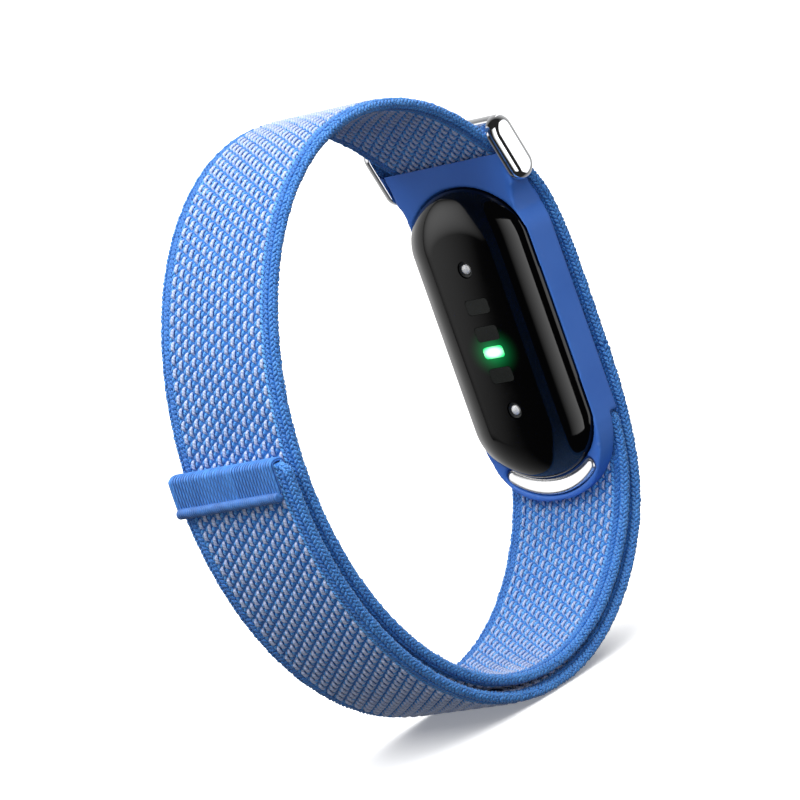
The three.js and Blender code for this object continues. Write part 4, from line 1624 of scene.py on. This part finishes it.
# ---------------------------------------------------------------- carrier, buckle and latch
@dataclass
class Carrier:
    """The moulded carrier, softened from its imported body."""

    pod: Pod
    voxel_mm: float = 0.16
    smoothing: int = 10
    rounding: int = 110
    lip_z: float = 24.2
    lip_keep: float = 0.8
    lip_fade: float = 1.5
    pod_keep: float = 0.9
    pod_fade: float = 1.2
    latch_z: float = -17.0
    latch_fade: float = 2.0
    levels: int = 8

    def _softness(self, points: np.ndarray) -> np.ndarray:
        """How far each point may be rounded: not at all round the pod, by the latch or along the lip.

        Args:
            points: the points in millimetres.

        Returns:
            A share between 0 and 1 for each point.
        """
        straight = self.pod.length / 2 - self.pod.end_length
        up = np.maximum(np.abs(points[:, 2] - self.pod.middle) - straight, 0)
        half, end = self.pod.width / 2, self.pod.end_length
        reach = np.hypot(points[:, 1] / half, up / end) * np.minimum(half, end)
        outside = reach - np.minimum(half, end)
        clear_of_pod = np.clip((outside - self.pod_keep) / self.pod_fade, 0, 1)
        above_latch = np.clip((points[:, 2] - self.latch_z) / self.latch_fade, 0, 1)
        below_lip = np.clip((self.lip_z - self.lip_keep - points[:, 2]) / self.lip_fade, 0, 1)
        return clear_of_pod * below_lip * above_latch

    def build(self, finish: bpy.types.Material) -> bpy.types.Object:
        """Remeshes and relaxes the carrier's body so that its edges are moulded, not cut.

        Args:
            finish: the piece's material.

        Returns:
            The piece.
        """
        source = frame["nodes"]["carrier"]
        piece = linked("moulded_carrier", source.data.copy())
        remesh = piece.modifiers.new("skin", "REMESH")
        remesh.mode, remesh.voxel_size = "VOXEL", self.voxel_mm * MM
        relax = piece.modifiers.new("relax", "SMOOTH")
        relax.factor, relax.iterations = 0.5, self.smoothing
        bake_modifiers(piece)
        points = np.empty(len(piece.data.vertices) * 3)
        piece.data.vertices.foreach_get("co", points)
        level = np.round(self._softness(points.reshape(-1, 3) / MM) * self.levels).astype(int)
        group = piece.vertex_groups.new(name="soft")
        for step in range(1, self.levels + 1):
            group.add(np.flatnonzero(level == step).tolist(), step / self.levels, "REPLACE")
        round_off = piece.modifiers.new("round", "SMOOTH")
        round_off.factor, round_off.iterations, round_off.vertex_group = 0.5, self.rounding, "soft"
        bake_modifiers(piece)
        piece.data.materials.clear()
        piece.data.materials.append(finish)
        shade_smooth(piece)
        return piece


@dataclass
class Buckle:
    """The polished frame at the carrier's head: two cheeks and the bar between them."""

    route: StrapRoute
    bar_radius: float = 1.0
    bar_gap: float = 0.35
    bar_lead: float = 2.1
    cheek_inner: float = 10.35
    cheek_thickness: float = 1.5
    cheek_radius: float = 2.1
    rounding: float = 1.15
    inner_rounding: float = 0.2
    top_lead: float = -0.2
    foot_offset: float = 1.3
    foot_drop: float = 2.3
    rim_x: float = 22.2
    lip_z: float = 24.2

    def bar_centre(self) -> np.ndarray:
        """The bar's middle, seen along the wrist.

        Returns:
            The (x, z) of the middle.
        """
        lip = self.route.near(self.rim_x, self.lip_z + 0.7, 0.3, 0.8)
        distance = np.array([lip - self.bar_lead])
        height = np.array([self.route.thickness / 2 + self.bar_gap + self.bar_radius])
        return self.route.at(distance, np.array([0.0]), height)[0][[0, 2]]

    def outline(self) -> np.ndarray:
        """The cheek's outline as (x, z) rows, counter-clockwise.

        Returns:
            One row for each point.
        """
        top = self.bar_centre() + np.array([self.top_lead, self.bar_radius - self.cheek_radius])
        low = np.array([self.rim_x + self.foot_offset, self.lip_z - self.foot_drop])
        lean = math.atan2(*(top - low)[::-1])
        arcs = []
        for centre, start in ((top, lean - math.pi / 2), (low, lean + math.pi / 2)):
            turn = np.linspace(start, start + math.pi, 48)
            arcs.append(centre + self.cheek_radius * np.column_stack([np.cos(turn), np.sin(turn)]))
        return np.concatenate(arcs)

    def build(self, metal: bpy.types.Material) -> bpy.types.Object:
        """Both cheeks with rounded rims, and the bar let into them.

        Args:
            metal: the piece's material.

        Returns:
            The piece.
        """
        parts = MeshParts()
        inner, outer = self.cheek_inner, self.cheek_inner + self.cheek_thickness
        small, large = self.inner_rounding, self.rounding
        for cheek in ((inner, outer, small, large), (-outer, -inner, large, small)):
            points, faces = pillow(self.outline(), *cheek)
            parts.add(along_y(points), faces)
        x, z = self.bar_centre()
        bar_half = outer - 0.5
        points, faces = turned([(self.bar_radius, -bar_half), (self.bar_radius, bar_half)], 64)
        parts.add(along_y(points) + np.array([x, 0, z]), faces)
        piece = parts.make("polished_buckle", metal)
        piece.data.set_sharp_from_angle(angle=math.radians(40))
        return piece


@dataclass
class Latch:
    """The polished crescent that holds the pod's lower end."""

    pod: Pod
    gap: float = 0.3
    width: float = 2.1
    tip_loss: float = 0.35
    spread: float = 38.0
    rounding: float = 0.5
    back_rounding: float = 0.05
    tilt: float = 0.25

    def outline(self) -> np.ndarray:
        """The crescent's outline as (y, z) rows, counter-clockwise.

        Returns:
            One row for each point.
        """
        share = np.linspace(-1, 1, 80)
        turn = np.radians(-90 + self.spread * share)
        straight = self.pod.length / 2 - self.pod.end_length

        def edge(reach: np.ndarray) -> np.ndarray:
            """Points at a reach outside the pod's end.

            Args:
                reach: the reach of each point.

            Returns:
                One (y, z) row for each point.
            """
            y = (self.pod.width / 2 + reach) * np.cos(turn)
            z = self.pod.middle + (self.pod.end_length + reach) * np.sin(turn) - straight
            return np.column_stack([y, z])

        outer = edge(self.gap + self.width - self.tip_loss * share**2)
        inner = edge(np.full(len(share), self.gap))[::-1]
        tips = []
        for end, start in ((outer[-1], inner[0]), (inner[-1], outer[0])):
            middle, spoke = (end + start) / 2, (end - start) / 2
            angles = np.linspace(0, math.pi, 18)[1:-1]
            across = np.array([-spoke[1], spoke[0]])
            tips.append(middle + np.outer(np.cos(angles), spoke) + np.outer(np.sin(angles), across))
        return np.concatenate([outer, tips[0], inner, tips[1]])

    def build(self, metal: bpy.types.Material) -> bpy.types.Object:
        """The crescent with a softly rounded face.

        Args:
            metal: the piece's material.

        Returns:
            The piece.
        """
        low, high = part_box("release_latch")
        points, faces = pillow(self.outline(), -high.x / MM, -low.x / MM, self.back_rounding, self.rounding)
        points[:, 2] *= -1
        end = self.pod.end_length
        up = points[:, 1] - self.pod.middle + self.pod.length / 2 - end
        reach = np.hypot(points[:, 0] / (self.pod.width / 2), up / end)
        inwards = np.clip(1 + (self.gap + self.width) / end - reach, 0, 1) * end
        front = points[:, 2] < (low.x + high.x) / 2 / MM
        points[:, 2] += np.where(front, inwards * self.tilt, 0)
        return solid("polished_latch", along_x(points), reversed_faces(faces), metal)


# ---------------------------------------------------------------- stage
@dataclass
class Studio:
    """The floor, the soft lights, the white surround and the camera."""

    place: tuple = (-0.56655, -0.55647, 0.13473)
    azimuth: float = -45.52
    elevation: float = 9.62
    roll: float = 19.65
    lens: float = 290.1
    over: float = 0.45
    under: float = 0.16
    polished: float = 0.02
    rear: float = 0.8
    card_distance: float = 1.5

    def level_axes(self) -> tuple:
        """The right, up and back directions of a camera held level.

        Returns:
            The three unit directions.
        """
        a, e = math.radians(self.azimuth), math.radians(self.elevation)
        right = Vector((math.cos(a), math.sin(a), 0))
        up = Vector((-math.sin(a) * math.sin(e), math.cos(a) * math.sin(e), math.cos(e)))
        back = Vector((math.sin(a) * math.cos(e), -math.cos(a) * math.cos(e), math.sin(e)))
        return right, up, back

    def axes(self) -> tuple:
        """The camera's own right, up and back directions.

        Returns:
            The three unit directions.
        """
        right, up, back = self.level_axes()
        r = math.radians(self.roll)
        return right * math.cos(r) - up * math.sin(r), right * math.sin(r) + up * math.cos(r), back

    def camera(self) -> None:
        """Sets the camera."""
        right, up, back = self.axes()
        data = bpy.data.cameras.new("camera")
        data.lens, data.sensor_width, data.clip_start = self.lens, 36.0, 0.01
        camera = linked("camera", data)
        camera.matrix_world = Matrix.Translation(self.place) @ Matrix((right, up, back)).transposed().to_4x4()
        bpy.context.scene.camera = camera

    def light(
        self, name: str, way: tuple, size: float, power: float, mirrored: bool = False
    ) -> bpy.types.Object:
        """One soft square panel aimed at the band.

        Args:
            name: the panel's name.
            way: its place along the camera's right, up and back directions, in metres.
            size: its side in metres.
            power: its power in watts.
            mirrored: whether polished surfaces mirror it.

        Returns:
            The panel.
        """
        data = bpy.data.lights.new(name, "AREA")
        data.shape, data.size, data.energy = "SQUARE", size, power
        panel = linked(name, data)
        panel.location = sum((axis * share for axis, share in zip(self.axes(), way)), Vector())
        panel.rotation_euler = (-panel.location).to_track_quat("-Z", "Y").to_euler()
        panel.visible_glossy = mirrored
        return panel

    def surround(self) -> None:
        """A white surround for the camera and cloth, and a dim one for polished surfaces."""
        world = bpy.data.worlds.new("surround")
        bpy.context.scene.world = world
        world.use_nodes = True
        g = Graph(world.node_tree)
        path = g.node("ShaderNodeLightPath").outputs
        way = g.axes(g.node("ShaderNodeTexCoord").outputs["Generated"])
        sky = g.span(way["Z"], -0.35, 0.6, self.under, self.over)
        matt = g.product(sky, g.math("SUBTRACT", 1.0, path["Is Glossy Ray"]))
        diagonal = 0.707
        behind = g.math("ADD", g.product(way["X"], diagonal), g.product(way["Y"], diagonal))
        gloss = g.product(path["Is Glossy Ray"], g.span(behind, -0.03, 1.0, self.polished, self.rear))
        total = g.math("MAXIMUM", g.math("ADD", matt, gloss), path["Is Camera Ray"])
        g.feed(world.node_tree.nodes["Background"], {"Color": (1, 1, 1, 1), "Strength": total})

    def floor(self, finish: bpy.types.Material) -> bpy.types.Object:
        """The floor, level with the band's lowest point.

        Args:
            finish: the piece's material.

        Returns:
            The floor.
        """
        clearance, width = 0.1, 12000.0
        floor = self._sheet("floor", width, width, CAD_BOX[0].z / MM - clearance, finish)
        floor.visible_glossy = floor.visible_diffuse = False
        return floor

    @staticmethod
    def _sheet(
        name: str, width: float, height: float, z: float, finish: bpy.types.Material
    ) -> bpy.types.Object:
        """A flat sheet in millimetres, lying level about the Z axis.

        Args:
            name: the sheet's name.
            width: its width.
            height: its other width.
            z: its height.
            finish: the piece's material.

        Returns:
            The sheet.
        """
        corners = ((-1, -1), (1, -1), (1, 1), (-1, 1))
        points = np.array([(u * width / 2, v * height / 2, z) for u, v in corners])
        return solid(name, points, [np.array([[0, 1, 2, 3]])], finish)

    def card(self, finish: bpy.types.Material, way: tuple, width: float, height: float) -> None:
        """A card that only polished surfaces mirror, standing well off the band.

        Args:
            finish: its glow.
            way: where it stands, along the level camera's right, up and back directions.
            width: its width in metres.
            height: its height in metres.
        """
        x, y, z = self.level_axes()
        away = (x * way[0] + y * way[1] + z * way[2]).normalized()
        across = y.cross(away).normalized()
        card = self._sheet(finish.name, width / MM, height / MM, 0.0, finish)
        turn = Matrix((across, away.cross(across), away)).transposed().to_4x4()
        card.matrix_world = Matrix.Translation(away * self.card_distance) @ turn
        card.visible_camera = card.visible_diffuse = card.visible_shadow = False
        card.visible_transmission = card.visible_volume_scatter = False

    @staticmethod
    def keep_off(panel: bpy.types.Object, *pieces: bpy.types.Object) -> None:
        """Keeps a panel's light off some pieces.

        Args:
            panel: the panel.
            pieces: the pieces.
        """
        kept = bpy.data.collections.new(panel.name + "_keeps_off")
        panel.light_linking.receiver_collection = kept
        for number, piece in enumerate(pieces):
            kept.objects.link(piece)
            kept.collection_objects[number].light_linking.link_state = "EXCLUDE"

    def build(self, finish: bpy.types.Material, polished: list) -> None:
        """Sets the whole stage.

        Args:
            finish: the floor's finish.
            polished: the pieces that the key panel leaves to the cards.
        """
        self.camera()
        self.surround()
        ground = bpy.data.collections.new("ground")
        ground.objects.link(self.floor(finish))
        key = self.light("key_panel", (-1.2, 1.8, 0.85), 2.4, 105, mirrored=True)
        front = self.light("front_panel", (0.15, 0.3, 1.5), 0.8, 6)
        self.keep_off(key, ground.objects[0], *polished)
        self.keep_off(front, ground.objects[0])
        over = self.light("overhead_panel", (-0.75, 1.85, 0.4), 4.6, 175)
        over.light_linking.receiver_collection = ground
        self.card(CardFinish("right_card", 1.5).make(), (0.985, -0.16, 0.0), 0.8, 1.2)
        self.card(CardFinish("left_card", 1.7, soft=0.8).make(), (-0.93, 0.3, 0.0), 1.8, 1.6)
        self.card(CardFinish("near_card", 2.6, 0.9).make(), (0.08, -0.25, 0.93), 1.5, 1.8)
        bpy.context.scene.view_settings.view_transform = "Standard"


# ---------------------------------------------------------------- assembly
class Finishes:
    """Every material of the band, made once."""

    def __init__(self) -> None:
        """Builds the shared effects and each finish."""
        kit = EffectKit()
        yarns = (
            YarnFinish("core_yarn", "2f78cc", "266cbe", 0.9, 0.1),
            YarnFinish("light_yarn", "bfcbec", "adbfe8", 0.55, 0.25),
            YarnFinish("blue_yarn", "59a6ee", "4496e6", 0.55, 0.25),
            YarnFinish("margin_yarn", "307ed2", "2872c6", 0.6, 0.2),
            YarnFinish("edge_yarn", "4591e0", "3683d6", 0.55, 0.25),
        )
        self.strap = [yarn.make(kit) for yarn in yarns]
        finishes = {
            "ribbon": YarnFinish("ribbon", "4388d8", "3679ca", 0.55, 0.2, 0.4, 0.04),
            # the ribbon darkened as painted shade for the tab's grooves
            "groove": YarnFinish("ribbon_groove_shade", "1d4f98", "184688", 0.9, 0.05, 0.4, 0.02),
            "piping": YarnFinish("piping", "306fba", "265fa8", 0.5, 0.2, 0.5, 0.04),
            "tape": YarnFinish("hook_tape_blue", "1d4f9d", "17438a", 0.6, 0.1),
            "carrier": MouldedFinish("carrier_blue", "3a74d2", "356dca", "5a8cda", 0.5, 0.58, 0.003),
            "black": MouldedFinish("pod_black", "0d0e0f", "111213", "2a2b2d", 0.5, 0.62),
            "rubber": MouldedFinish("gasket_rubber", "171718", "1d1d1e", "303032", 0.8, 0.9),
            "chip": MouldedFinish("chip_resin", "0b0b0c", "121213", "2a2a2c", 0.4, 0.55),
            "board": MouldedFinish("board_lacquer", "14502c", "0f4325", "3c7a54", 0.3, 0.45, 0.002, 0.4),
            "smoked": MouldedFinish("smoked_window", "101311", "0c0f0d", "1c201d", 0.18, 0.26, 0.001),
            "chrome": MetalFinish("polished_metal", "f2f3f5", 0.05, 0.1),
            "satin": MetalFinish("satin_metal", "f4f4f5", 0.26, 0.32),
            "steel": MetalFinish("plain_steel", "c8cacc", 0.3, 0.42),
            "contact": MetalFinish("contact_metal", "fbfaf8", 0.42, 0.5, 0.3),
            "foil": MetalFinish("cell_foil", "b4b8bd", 0.35, 0.5),
            # the cover's green tone is the painted glow round the LED window
            "cover": CoverFinish("cover_gloss", "050506", "18b862", -0.45, 3.8),
            "lit": LitFinish("lit_window", "d6ffe6", "20d873", (0.0, -0.45), (1.7, 0.75), 1.35),
            "floor": StageFinish("pale_floor", "f2f2f2", 0.22),
        }
        self.made = {key: finish.make(kit) for key, finish in finishes.items()}

    def __getitem__(self, key: str) -> bpy.types.Material:
        """One material by its short name."""
        return self.made[key]


def place(piece: bpy.types.Object, body: str, slot: str, *nodes: str) -> bpy.types.Object:
    """Puts a piece on its body in place of CAD nodes.

    Args:
        piece: the piece.
        body: the body that it rides on.
        slot: its material slot in the record; not used.
        nodes: the CAD nodes that it stands for.

    Returns:
        The piece.
    """
    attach(piece, body)
    if nodes:
        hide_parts(*nodes)
    log.info("%s rides on %s", piece.name, body)
    return piece


def dress(finish: bpy.types.Material, *nodes: str) -> None:
    """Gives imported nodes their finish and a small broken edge.

    Args:
        finish: their material.
        nodes: the nodes' names.
    """
    for name in nodes:
        node = frame["nodes"][name]
        node.data.materials.clear()
        node.data.materials.append(finish)
        edge = node.modifiers.new("broken_edge", "BEVEL")
        edge.width, edge.segments, edge.limit_method = 0.05 * MM, 2, "ANGLE"
        log.info("%s dressed in %s", name, finish.name)


SEAM_PERIODS = 124
DRESSED = {
    "black": ("pod_base", "light_baffle"),
    "rubber": ("cover_gasket",),
    "lit": ("led_window", "led_emitter"),
    "smoked": ("sensor_window_1", "sensor_window_2", "sensor_window_3"),
    "chip": (
        "photodiode_1", "photodiode_2", "photodiode_3",
        "processor_chip", "radio_chip", "motion_sensor_chip", "memory_chip",
    ),
    "board": ("main_board", "battery_guard_board"),
    "foil": ("battery", "antenna"),
    "steel": ("vibration_motor", "buckle_pin", "latch_spring"),
}


def main() -> None:
    """Builds the band piece by piece, then the stage."""
    finishes = Finishes()
    route = StrapRoute()
    strap = WovenStrap(route, finishes.strap)
    seam = SEAM_PERIODS * strap.period
    turn = strap.build("woven_turn", 0.0, seam)
    place(turn, "cradle", "webbing", "woven_strap")
    closing = strap.build("woven_closing_layer", seam, route.length)
    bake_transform(closing)
    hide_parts("woven_strap", "strap_tail")
    trim, pod = TailTrim(route), Pod()
    place(trim.tape(finishes["tape"]), "tail", "hook_tape", "hook_tape")
    place(trim.tab(finishes["ribbon"], finishes["groove"]), "tail", "ribbon", "pull_tab")
    place(trim.piping(finishes["piping"]), "tail", "ribbon", "tab_piping")
    place(Carrier(pod).build(finishes["carrier"]), "cradle", "carrier_plastic", "carrier")
    buckle, latch = Buckle(route).build(finishes["chrome"]), Latch(pod).build(finishes["satin"])
    cover = pod.cover(finishes["cover"])
    place(buckle, "cradle", "polished_metal", "buckle_frame")
    place(latch, "latch", "polished_metal", "release_latch")
    place(cover, "pod", "gloss_cover", "wrist_cover")
    for hand, side in ((1, "upper"), (-1, "lower")):
        pin = pod.pin(f"pin_{side}", hand, finishes["contact"])
        collar = pod.collar(f"collar_{side}", hand, finishes["black"])
        place(pin, "pod", "steel", f"contact_{side}")
        place(collar, "pod", "matte_black", f"contact_collar_{side}")
    for key, nodes in DRESSED.items():
        dress(finishes[key], *nodes)
    Studio().build(finishes["floor"], [buckle, latch, cover])


if __name__ == "__main__":
    logging.basicConfig(level=logging.INFO, format="%(name)s: %(message)s")
    main()
